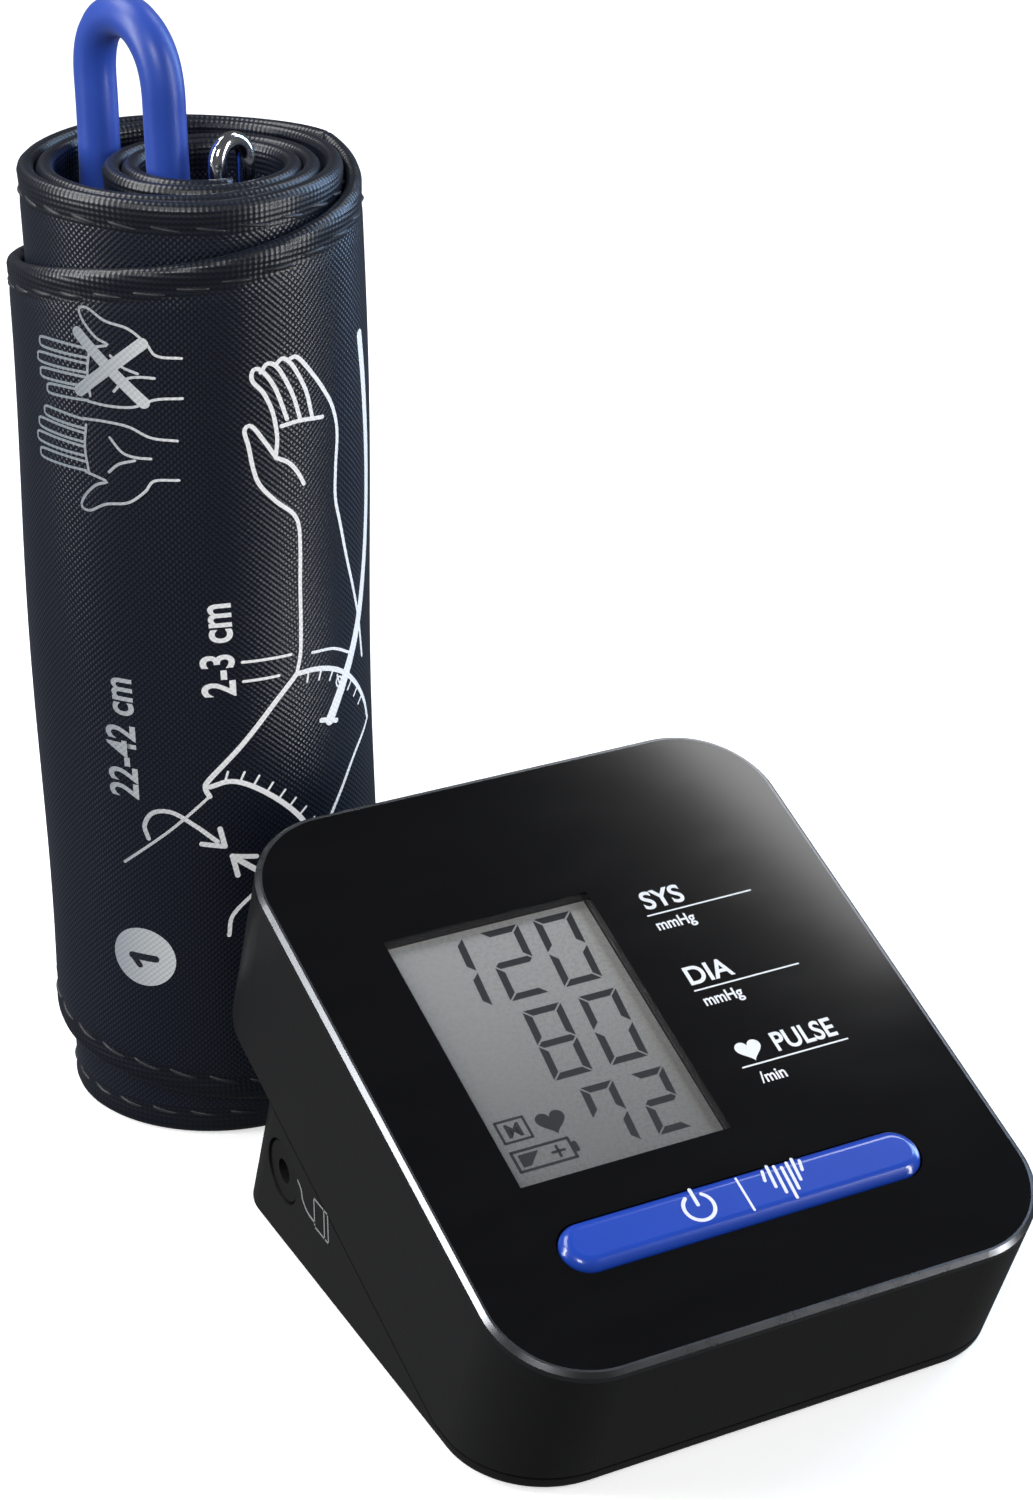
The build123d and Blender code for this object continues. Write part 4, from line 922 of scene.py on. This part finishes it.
@dataclass(frozen=True)
class CuffRoll:
    """The cuff: a padded band rolled up on end, its tapering tail, its hook tape, sewing and printed drawings."""

    spiral: Spiral = Spiral()
    axis: Point = (-32.9, 152.0)
    turned: float = -27.3
    height: float = 171.5
    tail_thick: float = 2.4
    taper: float = 0.0018
    tail_from: float = 35.0
    fold_at: float = -200.0
    tail_to: float = -270.0
    fold_reach: float = 6.0
    stitch_inset: float = 4.2
    stitch_pitch: float = 6.8
    stitch_length: float = 5.7
    thread: float = 0.33
    firm_to: float = 17.0
    firm_fade: float = 9.0
    sway: float = 0.40
    heave: float = 0.35
    groove_depth: float = 0.16
    groove_width: float = 0.9
    hem_puff: float = 0.10
    hem_middle: float = 1.8
    hem_width: float = 1.3
    end_round: float = 1.6
    end_least: float = 0.12

    def stand(self, flat: Array, height: Array) -> Array:
        """Turns roll axes into the row frame, after the cloth's slow unevenness: sine waves of the place, fading out
        towards the core.

        Args:
            flat: places in the roll's own axes, two numbers each.
            height: heights above the table.

        Returns:
            Points in the row frame, three numbers each.
        """
        x, y = flat[..., 0], flat[..., 1]
        loose = np.clip((np.hypot(x, y) - self.firm_to) / self.firm_fade, 0, 1) ** 2
        dx = self.sway * loose * np.sin(height / 17 + y / 11)
        dy = self.sway * loose * np.cos(height / 21 + x / 13)
        dz = self.heave * loose * np.sin(x / 9 + 0.6) * np.cos(y / 8) * np.clip(height / self.height, 0, 1)
        c, s = math.cos(math.radians(self.turned)), math.sin(math.radians(self.turned))
        x, y = x + dx, y + dy
        place = np.stack([self.axis[0] + c * x - s * y, self.axis[1] + s * x + c * y, height + dz], axis=-1)
        return place + ORIGIN

    def edges(self, distance: Array) -> tuple[Array, Array]:
        """Bottom and top edge of the band: full width, then narrowing evenly along the tail."""
        gone = np.maximum(distance - self.spiral.reach(7, self.tail_from), 0)
        half = self.height / 2 * (1 - self.taper * gone)
        return self.height / 2 - half, self.height / 2 + half

    def band(
        self,
        name: str,
        first: float,
        last: float,
        thick: float,
        finish: Finish,
        body: str,
        offset: float = 0.0,
        inset: float = 0.0,
        sewn: bool = True,
    ) -> bpy.types.Object:
        """Builds a closed upright band along the spiral.

        The section is a tall ring: two sides joined by half circles at the bottom and the top. A soft groove runs
        under each line of sewing, deepest at the stitches, and the ends close to a thin edge.

        Args:
            name: the piece's name.
            first, last: distances along the band.
            thick: its thickness.
            finish: its finish.
            body: the body that it rides on.
            offset: how far its middle lies outside the band's middle surface.
            inset: how much lower than the band's edges it ends.
            sewn: whether it has the grooves of sewing.

        Returns:
            The new object.
        """
        distance = np.linspace(first, last, max(6, round((last - first) / 1.1)))
        low, high = self.edges(distance)
        low, high = low + inset, high - inset
        hem = 9.0  # the closely divided strip at each edge
        near, tall = np.linspace(0, 1, 6)[:-1] * hem, float((high - low)[0]) - 2 * thick
        rows = np.concatenate([near, hem + np.linspace(0, 1, 22) * (tall - 2 * hem), tall - near[::-1]])
        scale = (rows / rows[-1])[None, :]
        swell = np.linspace(-math.pi / 2, math.pi / 2, 7)[1:-1]
        half = thick / 2
        begin, end = (low + half)[:, None], (high - half)[:, None]
        side = begin + scale * (end - begin)
        out = np.full_like(side, half)
        top_z, top_o = end + np.cos(swell) * half, -np.sin(swell) * half + 0 * end
        bottom_z, bottom_o = begin - np.cos(swell) * half, np.sin(swell) * half + 0 * end
        z = np.hstack([side, top_z, side[:, ::-1], bottom_z])
        o = np.hstack([out, top_o, -out, bottom_o])
        inside = np.minimum(z - low[:, None], high[:, None] - z)
        if sewn:
            beat = 0.5 + 0.5 * np.cos(2 * math.pi * distance / self.stitch_pitch)[:, None]
            deep = self.groove_depth * (1 + beat)
            groove = np.exp(-(((inside - self.stitch_inset) / self.groove_width) ** 2)) * deep
            puff = self.hem_puff * np.exp(-(((inside - self.hem_middle) / self.hem_width) ** 2))
            o = o * (1 - (groove - puff) / half)
        closing = np.minimum(distance - first, last - distance)[:, None]
        if body:
            o = o * np.sqrt(np.clip(1 - (1 - np.clip(closing / self.end_round, 0, 1)) ** 2, self.end_least, 1))
        middle, away = self.spiral.follow(distance)
        flat = middle[:, None, :] + away[:, None, :] * (o + offset)[..., None]
        points = self.stand(flat, z)
        charts = cloth_charts(np.broadcast_to(distance[:, None], z.shape), z, inside)
        made = piece(name, points.reshape(-1, 3), tube_faces(*z.shape), finish, body, charts)
        turn_outwards(made)
        return made

    def sewing(self, name: str, first: float, last: float, thick: float, body: str) -> None:
        """Sews both edges: each stitch is a short round thread that leans, and dips into the cloth at its ends.

        Args:
            name: the piece's name.
            first, last: distances along the band.
            thick: the cloth's thickness there.
            body: the body that it rides on.
        """
        pitch = self.stitch_pitch
        starts = np.arange(math.ceil(first / pitch), math.floor(last / pitch)) * pitch
        starts = starts + (pitch - self.stitch_length) / 2
        t, turn = np.linspace(0, 1, 9)[None, :, None], np.linspace(0, 2 * math.pi, 7)[None, None, :-1]
        size = self.thread * np.sqrt(np.clip(1 - (2 * t - 1) ** 4, 0.05, 1))
        along = starts[:, None, None] + t * self.stitch_length + 0 * turn
        dip, arch, slant = 0.42, 0.40, 0.9
        lift = thick / 2 - dip + arch * np.sin(math.pi * t) + size * np.cos(turn) + 0 * along
        low, high = self.edges(along)
        lean = (t - 0.5) * slant + size * np.sin(turn)
        sides = [high - self.stitch_inset + lean, low + self.stitch_inset + lean]
        middle, away = self.spiral.follow(along)
        flat = middle + away * lift[..., None]
        points = [self.stand(flat, z).reshape(-1, 3) for z in sides]
        rings, around = 9, 6
        begins = np.arange(len(starts) * 2)[:, None] * rings * around
        faces = (grid_faces(rings, around, True)[None] + begins[:, :, None]).reshape(-1, 4).tolist()
        cap = np.arange(around)
        faces += (cap[::-1] + begins).tolist() + (cap + begins + (rings - 1) * around).tolist()
        made = piece(name, np.vstack(points), faces, Finish.THREAD, body)
        turn_outwards(made)

    def on_wrap(self, flat: Array, rise: float) -> Array:
        """Places a drawing on the tail's outer face: x to the right of the front line, y the height."""
        distance = self.spiral.reach(8, -90.0) - flat[:, 0]
        middle, away = self.spiral.follow(distance)
        return self.stand(middle + away * (self.tail_thick / 2 + rise), flat[:, 1])

    def drawings(self) -> None:
        """Prints the plain line drawings that show how the cuff is put on."""
        pen = Pen(self.on_wrap, 0.09)
        self.flat_hand(pen, (-26.0, 120.4), False)
        self.flat_hand(pen, (-25.0, 153.2), True)
        pen.stroke(2.0, (-15.4, 149.6), (-4.4, 139.4))
        pen.stroke(2.0, (-15.4, 139.9), (-4.4, 149.3))
        self.raised_arm(pen)
        self.worn_cuff(pen)
        pen.words("2-3 cm", (4.8, 96.2), 5.3, 0.8, 90)
        pen.words("22-42 cm", (-12.0, 79.2), 5.2, 0.8, 90)
        pen.stroke(0.5, (8.8, 93.7), (17.4, 93.2))
        pen.stroke(0.5, (8.8, 90.2), (14.9, 90.0))
        self.arrows(pen)
        pen.print("wrap_drawings", Finish.CLOTH_INK, "cuff")
        self.step_mark((-9.6, 37.2), 5.7)

    def flat_hand(self, pen: Pen, at: Point, upside_down: bool) -> None:
        """Draws an open hand with its fingers to the left, its thumb down, or up where it is upside down."""
        flip = -0.9 if upside_down else 0.9

        def line(*corners: Point) -> None:
            """One outline stroke in the hand's own axes."""
            pen.stroke(0.46, *[(at[0] + x, at[1] + flip * y) for x, y in corners])

        tips = ((2.3, 16.0), (0.6, 13.4), (0.0, 10.6), (0.7, 7.6))
        knuckles = ((11.2, 15.5), (11.2, 12.9), (11.2, 10.3), (11.2, 7.5))
        for (tx, ty), (kx, ky) in zip(tips, knuckles):
            line((kx, ky + 0.85), ((tx + kx) / 2, (ty + ky) / 2 + 0.95), (tx + 0.6, ty + 0.85), (tx, ty),
                 (tx + 0.6, ty - 0.85), ((tx + kx) / 2, (ty + ky) / 2 - 0.95), (kx, ky - 0.85))
        line((11.6, 15.4), (11.2, 11.0), (11.8, 6.2))
        line((11.2, 16.5), (15.0, 16.7), (19.0, 16.3), (22.5, 14.6), (26.6, 14.2))
        line((11.2, 6.4), (13.6, 5.8), (15.0, 5.2), (13.0, 4.3), (10.8, 1.8), (10.0, -0.4), (11.6, -0.9),
             (14.6, 0.9), (18.4, 1.8), (21.2, 4.2), (22.8, 6.4), (26.6, 6.7))
        line((15.8, 13.8), (17.8, 11.3), (20.0, 10.6), (22.4, 10.6))
        line((15.4, 7.2), (17.2, 9.0), (19.8, 10.0))

    def raised_arm(self, pen: Pen) -> None:
        """Draws the raised hand and forearm."""
        line = 0.72
        pen.stroke(line, (16.1, 128.8), (13.9, 132.4), (12.1, 134.9), (11.0, 134.3), (11.6, 131.4), (12.3, 127.3),
                   (13.3, 124.4), (16.0, 121.0), (18.9, 118.2), (20.0, 115.6), (20.1, 111.0), (19.8, 105.0),
                   (19.6, 99.0), (19.2, 93.2), (18.3, 89.6))
        pen.stroke(line, (16.1, 128.8), (16.4, 132.2), (15.7, 136.6), (14.2, 140.2), (12.4, 142.6), (12.6, 144.4),
                   (14.0, 144.0), (16.2, 140.6), (18.2, 134.9))
        pen.stroke(line, (13.8, 143.8), (15.0, 145.1), (16.8, 143.8), (19.2, 139.0), (20.6, 134.4))
        pen.stroke(line, (16.2, 144.6), (17.6, 145.4), (19.4, 143.6), (21.8, 138.8), (23.0, 134.0))
        pen.stroke(line, (18.4, 144.9), (20.0, 145.1), (22.2, 142.6), (25.2, 138.4), (27.6, 134.2), (28.7, 129.6),
                   (28.3, 123.6), (28.2, 118.0), (29.4, 113.0), (31.2, 106.0), (33.4, 99.0), (35.0, 93.0),
                   (36.0, 86.0))
        pen.stroke(line, (17.2, 133.9), (20.6, 134.0), (25.2, 133.3))
        pen.stroke(line, (16.1, 128.7), (18.3, 127.3), (20.0, 125.2), (21.2, 122.8))

    def worn_cuff(self, pen: Pen) -> None:
        """Draws the cuff on the bent arm, its ticks, the hose along the arm, and the upper arm below it."""
        pen.stroke(0.9, (18.2, 89.4), (22.0, 89.0), (26.0, 87.6), (30.0, 85.0), (33.6, 81.2), (36.4, 77.0),
                   (37.6, 73.4))
        pen.stroke(0.9, (18.2, 89.4), (13.8, 85.2), (7.9, 78.6), (2.6, 72.9), (1.8, 71.2), (2.4, 69.6))
        pen.stroke(0.9, (2.6, 71.4), (5.8, 72.2), (9.2, 70.9), (13.4, 67.6), (17.2, 63.4), (20.2, 58.6))
        pen.stroke(0.7, (37.0, 73.0), (31.2, 69.4), (26.4, 64.0), (22.6, 58.8))
        ticks = (
            (20.6, 89.0, -0.4, -1.7), (23.4, 88.5, -0.7, -1.7), (26.2, 87.4, -1.0, -1.6), (31.4, 83.4, -1.4, -1.3),
            (33.4, 81.2, -1.5, -1.1), (35.0, 78.8, -1.6, -0.9), (5.0, 72.3, 0.5, 1.7), (7.4, 71.9, 0.8, 1.7),
            (9.6, 70.9, 1.0, 1.6), (11.8, 69.2, 1.1, 1.5), (13.8, 67.4, 1.2, 1.4), (15.6, 65.4, 1.3, 1.3),
            (17.4, 63.2, 1.4, 1.2), (19.0, 60.8, 1.4, 1.0),
        )
        for x, y, dx, dy in ticks:
            pen.stroke(0.4, (x, y), (x + dx, y + dy))
        pen.stroke(0.5, (21.6, 92.2), (26.4, 91.2), (30.8, 88.8))
        ring = np.radians(np.linspace(0, 360, 13))
        pen.stroke(0.35, *[(27.6 + 0.75 * math.cos(a), 84.6 + 0.9 * math.sin(a)) for a in ring])
        pen.stroke(0.35, (27.2, 86.0), (28.0, 83.2))
        pen.stroke(2.1, (36.2, 144.0), (38.0, 134.0), (39.4, 122.0), (39.4, 111.0), (37.6, 101.0), (33.6, 91.0),
                   (24.8, 78.6))
        pen.stroke(0.9, (22.8, 79.2), (24.6, 78.6), (26.4, 77.8))
        pen.stroke(0.5, (2.4, 69.6), (-4.4, 62.8), (-12.6, 55.4))
        pen.stroke(0.7, (20.2, 58.6), (12.0, 52.6), (6.0, 47.0), (5.0, 42.6))

    def arrows(self, pen: Pen) -> None:
        """Draws the curled arrow that goes round the cuff and the arrow that meets it."""
        pen.stroke(0.8, (-8.0, 60.9), (-8.6, 63.4), (-7.0, 66.0), (-3.8, 66.4), (0.0, 64.0), (3.4, 61.0))
        pen.stroke(0.9, (4.6, 60.0), (3.9, 63.4))
        pen.stroke(0.9, (4.6, 60.0), (0.9, 60.6))
        pen.stroke(1.0, (5.8, 58.0), (11.4, 53.4))
        pen.stroke(0.9, (5.8, 58.0), (9.7, 57.4))
        pen.stroke(0.9, (5.8, 58.0), (6.6, 54.2))

    def step_mark(self, at: Point, radius: float) -> None:
        """Prints a round white mark, with the figure one lying on its side in the cloth's own colour."""
        around = np.linspace(0, 2 * math.pi, 64, endpoint=False)
        disc = Pen(self.on_wrap, 0.09)
        disc.shape(np.array(at) + np.stack([np.cos(around), np.sin(around)], axis=1) * radius)
        disc.print("step_disc", Finish.CLOTH_INK, "cuff")
        figure = Pen(self.on_wrap, 0.15)
        x, y = at
        figure.stroke(1.35, (x + 2.1, y), (x - 2.1, y))
        figure.stroke(1.1, (x - 2.1, y), (x - 0.8, y - 1.7))
        figure.print("step_figure", Finish.DARK_INK, "cuff")

    def sleeve(self) -> None:
        """Builds the short loop of cloth that holds the ring's sewn leg: round the leg, then along the first turn."""
        core = np.array([math.cos(math.radians(self.spiral.split)), math.sin(math.radians(self.spiral.split))])
        core *= -self.spiral.offset
        wire, room, cloth = 1.5, 0.05, 0.8
        reach = self.spiral.core - wire - room - cloth - room
        lean = math.radians(-68.0)
        leg = core + reach * np.array([math.cos(lean), math.sin(lean)])
        round_leg = lean + np.radians(np.linspace(20, 340, 40))
        loop = leg + (wire + room + cloth / 2) * np.stack([np.cos(round_leg), np.sin(round_leg)], axis=1)
        along = lean - np.radians(np.linspace(16, 45, 16))
        tongue = core + (self.spiral.core - cloth / 2 - room) * np.stack([np.cos(along), np.sin(along)], axis=1)
        spacing, unbound = 0.5, 5.0  # between the path's points, and an edge distance that has no binding
        path = smooth_line(np.vstack([loop, tongue]), spacing)
        slope = np.gradient(path, axis=0)
        slope /= np.linalg.norm(slope, axis=1, keepdims=True)
        side = np.stack([-slope[:, 1], slope[:, 0]], axis=1)
        swell = np.linspace(0, math.pi, 7)
        low, high, half = 14.7, 166.0, cloth / 2 - 0.03
        rise, bulge, reach_out = np.linspace(low, high, 24), np.sin(swell) * half, np.cos(swell) * half
        side_out = np.full(len(rise), half)
        z = np.concatenate([rise, high + bulge, rise[::-1], low - bulge])
        o = np.concatenate([side_out, reach_out, -side_out, -reach_out])
        flat = path[:, None, :] + side[:, None, :] * o[None, :, None]
        heights = np.broadcast_to(z, flat.shape[:2])
        points = self.stand(flat, heights)
        travelled = np.broadcast_to(np.arange(len(path))[:, None] * spacing, heights.shape)
        charts = cloth_charts(travelled, heights, np.minimum(heights - low, high - heights) + unbound)
        faces = tube_faces(*heights.shape)
        made = piece("ring_loop_cloth", points.reshape(-1, 3), faces, Finish.CLOTH, "cuff", charts)
        turn_outwards(made)
        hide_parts("ring_sleeve")

    def build(self) -> None:
        """Builds the roll's bands, sewing and drawings, and dresses the solids that stay."""
        tail, fold = self.spiral.reach(7, self.tail_from), self.spiral.reach(8, self.fold_at)
        end, thick = self.spiral.reach(9, self.tail_to), self.tail_thick
        turn_in, turn_out = fold - self.fold_reach, fold + self.fold_reach
        whole = self.band("cuff_band", 0.0, tail, self.spiral.laminate, Finish.CLOTH, "cuff")
        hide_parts("cuff_outer_fabric", "cuff_inner_fabric")
        wrap = self.band("cuff_tail", tail - 0.8, turn_in, thick, Finish.CLOTH, "cuff")
        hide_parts("tail_wrap")
        crease = self.band("tail_crease", turn_in, turn_out, thick, Finish.CLOTH, "")
        middle, away = self.spiral.follow(np.array([fold - 4.0, fold + 4.0]))
        first, last = self.stand(middle + away * thick / 2, np.full(2, self.height / 2)) * MM
        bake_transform(crease)
        flap = self.band("cuff_tail_end", turn_out, end, thick, Finish.CLOTH, "flap")
        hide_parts("tail_flap")
        hooks = self.band(
            "hook_tape", self.spiral.reach(9, -212.0), self.spiral.reach(9, -265.0), 1.0, Finish.HOOKS, "flap",
            thick / 2 + 0.5, 5.0, False,
        )
        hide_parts("hook_patch")
        for cloth, first, last in (
            (whole, 0.0, tail), (wrap, tail, turn_in), (crease, turn_in, turn_out), (flap, turn_out, end),
        ):
            low, high = self.edges(np.linspace(first, last, 50))
            flat = (self.height * MM, (last - first) * MM)
            area = float((high - low).mean()) * (last - first) * MM**2
        self.sewing("band_sewing", self.spiral.reach(4, -30.0), tail - 3, self.spiral.laminate, "cuff")
        self.sewing("tail_sewing", tail + 3, turn_in, thick, "cuff")
        self.sewing("tail_end_sewing", turn_out, end - 4, thick, "flap")
        self.drawings()
        self.sleeve()
        repaint("bladder", Finish.BLADDER.get())
        repaint("metal_ring", Finish.CHROME.get())
        repaint("hose_port plug_barrel plug_nozzle", Finish.PLUG.get())


def turn_outwards(made: bpy.types.Object) -> None:
    """Recalculates a closed piece's normals so that every face points outwards."""
    work = bmesh.new()
    work.from_mesh(made.data)
    bmesh.ops.recalc_face_normals(work, faces=work.faces[:])
    work.to_mesh(made.data)
    work.free()


@dataclass(frozen=True)
class Hose:
    """The air hose: up through the pocket, over the top in a loop, down the core and up again to its plug."""

    roll: CuffRoll = CuffRoll()
    radius: float = 3.5
    length: float = 474.0
    route: tuple[Spot, ...] = (
        (-14.25, 8.25, 28.0), (-14.25, 8.25, 58.0), (-14.75, 7.40, 94.0), (-14.75, 7.40, 128.0),
        (-14.55, 7.75, 156.0), (-14.25, 8.20, 176.0),
        (-14.55, 8.60, 188.0), (-10.75, 4.10, 194.2), (-5.60, -2.00, 194.2), (-1.75, -6.45, 188.0),
        (-1.75, -6.00, 176.0), (-1.40, -5.75, 156.0), (-1.00, -5.45, 128.0), (-0.95, -5.40, 94.0),
        (-1.25, -5.65, 58.0), (-1.75, -6.00, 32.0), (-1.95, -6.10, 18.0),
        (-1.55, -5.85, 10.6), (1.30, -3.85, 7.0), (6.05, -0.50, 7.0), (8.90, 1.50, 10.6),
        (9.30, 1.80, 18.0), (9.10, 2.10, 32.0), (8.10, 3.00, 58.0), (6.90, 3.50, 84.0), (6.10, 3.60, 104.0),
    )

    def build(self) -> None:
        c, s = math.cos(math.radians(self.roll.turned)), math.sin(math.radians(self.roll.turned))
        x, y, z = np.array(self.route).T
        points = np.stack([self.roll.axis[0] + c * x - s * y, self.roll.axis[1] + s * x + c * y, z], axis=1) + ORIGIN
        curve = bpy.data.curves.new("air_hose", "CURVE")
        curve.dimensions, curve.bevel_depth, curve.bevel_resolution = "3D", self.radius * MM, 6
        curve.use_fill_caps, curve.resolution_u = True, 10
        spline = curve.splines.new("NURBS")
        spline.points.add(len(points) - 1)
        spline.points.foreach_set("co", np.hstack([points * MM, np.ones((len(points), 1))]).ravel())
        spline.order_u, spline.use_endpoint_u = 3, True
        curve.materials.append(Finish.HOSE.get())
        made = bpy.data.objects.new("air_hose", curve)
        bpy.context.scene.collection.objects.link(made)
        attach(made, "cuff")
        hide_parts("hose")
        tuple(points[0] * MM)
        LOG.info("air_hose: %d route points on cuff", len(points))


# ---------------------------------------------------------------- studio
@dataclass(frozen=True)
class Studio:
    """A pale floor, soft lights and the camera."""

    camera_from_face: Spot = (-225.79, -340.51, 320.95)
    heading: float = 27.32
    pitch: float = 26.07
    lens: float = 79.2

    def camera(self) -> None:
        """Places the camera by its heading and its downward pitch."""
        data = bpy.data.cameras.new("camera")
        data.lens, data.sensor_width, data.clip_start, data.clip_end = self.lens, 36.0, 0.01, 50.0
        made = bpy.data.objects.new("camera", data)
        made.location = (ORIGIN + self.camera_from_face) * MM
        made.rotation_euler = (math.radians(90 - self.pitch), 0, -math.radians(self.heading))
        bpy.context.scene.collection.objects.link(made)
        bpy.context.scene.camera = made

    def floor(self) -> None:
        """Builds the pale floor, a little below the feet so that the faces don't coincide."""
        graph = Graph("studio_floor")
        made = bpy.data.meshes.new("floor")
        made.from_pydata([(-4, -4, 0), (4, -4, 0), (4, 4, 0), (-4, 4, 0)], [], [(0, 1, 2, 3)])
        made.materials.append(graph.dress(
            Base_Color=(0.84, 0.84, 0.84), Roughness=0.9, Specular_IOR_Level=0.1, Emission_Color=(1.0, 1.0, 1.0, 1.0),
            Emission_Strength=0.5,
        ))
        plane = bpy.data.objects.new("floor", made)
        plane.location.z = -0.0002
        self.hide_from_light(plane)

    def backdrop(self) -> None:
        """Builds a wide pale dome: a half sphere of rings whose radius is the cosine of their height's angle."""
        graph = Graph("studio_backdrop")
        graph.dress(Base_Color=(0.0, 0.0, 0.0), Roughness=1.0, Specular_IOR_Level=0.0, Emission_Strength=0.95)
        graph.dress(Emission_Color=(1.0, 1.0, 1.0, 1.0))
        rings, spokes, radius = 14, 48, 3.9
        rise = np.linspace(-0.05, math.pi / 2 - 0.01, rings)[:, None]
        turn = np.linspace(0, 2 * math.pi, spokes + 1)[None, :-1]
        dome = np.stack([np.cos(rise) * np.cos(turn), np.cos(rise) * np.sin(turn), np.sin(rise) + 0 * turn], axis=-1)
        made = bpy.data.meshes.new("backdrop")
        faces = grid_faces(rings, spokes, True).tolist() + [[(rings - 1) * spokes + i for i in range(spokes)]]
        made.from_pydata((dome * radius).reshape(-1, 3).tolist(), [], faces)
        made.materials.append(graph.material)
        shell = bpy.data.objects.new("backdrop", made)
        shell.visible_shadow = False
        self.hide_from_light(shell)

    def hide_from_light(self, made: bpy.types.Object) -> None:
        """Puts up a stage piece that neither lights the set nor shows in its gloss."""
        made.visible_diffuse = made.visible_glossy = False
        bpy.context.scene.collection.objects.link(made)

    def lamp(
        self, name: str, place: Spot, aim: Spot, size: Point, watts: float, tint: Colour = (1.0, 1.0, 1.0)
    ) -> None:
        """Adds a soft box.

        Args:
            name: its name.
            place: where it stands, in metres.
            aim: the point that it faces.
            size: its width and height.
            watts: its power.
            tint: its colour.
        """
        data = bpy.data.lights.new(name, "AREA")
        data.shape, data.size, data.size_y, data.energy, data.color = "RECTANGLE", *size, watts, tint
        made = bpy.data.objects.new(name, data)
        made.location = place
        made.rotation_euler = (Vector(aim) - Vector(place)).to_track_quat("-Z", "Y").to_euler()
        bpy.context.scene.collection.objects.link(made)

    def build(self) -> None:
        """Builds the camera, the floor, the backdrop, the lights and the surrounding light."""
        self.camera()
        self.floor()
        self.backdrop()
        blue, cuff, face = (0.45, 0.66, 1.0), (-0.02, 0.06, 0.1), (0.02, -0.02, 0.05)
        self.lamp("key", (-0.75, -1.0, 0.95), cuff, (0.35, 0.5), 9)
        self.lamp("top_soft", (-0.55, 0.75, 1.3), face, (0.9, 0.7), 12)
        self.lamp("face_gleam", (0.715, 0.372, 1.04), (0.09, 0.03, 0.075), (0.26, 0.26), 1.7)
        self.lamp("cuff_gleam", (0.68, -0.75, 0.25), cuff, (0.16, 1.0), 8)
        self.lamp("side_blue", (0.8, 0.1, 0.4), cuff, (0.25, 0.8), 6, blue)
        self.lamp("left_edge", (-0.9, 0.25, 0.5), cuff, (0.2, 0.8), 8)
        world = bpy.data.worlds.new("studio")
        world.use_nodes = True
        world.node_tree.nodes["Background"].inputs[0].default_value = (0.98, 0.99, 1.0, 1.0)
        world.node_tree.nodes["Background"].inputs[1].default_value = 0.09
        bpy.context.scene.world = world
        bpy.context.scene.view_settings.view_transform = "Standard"


def main() -> None:
    """Builds the set in order."""
    logging.basicConfig(level=logging.INFO, format="%(name)s %(message)s")
    Studio().build()
    Hose().build()
    Monitor().build()
    CuffRoll().build()


if __name__ == "__main__":
    main()
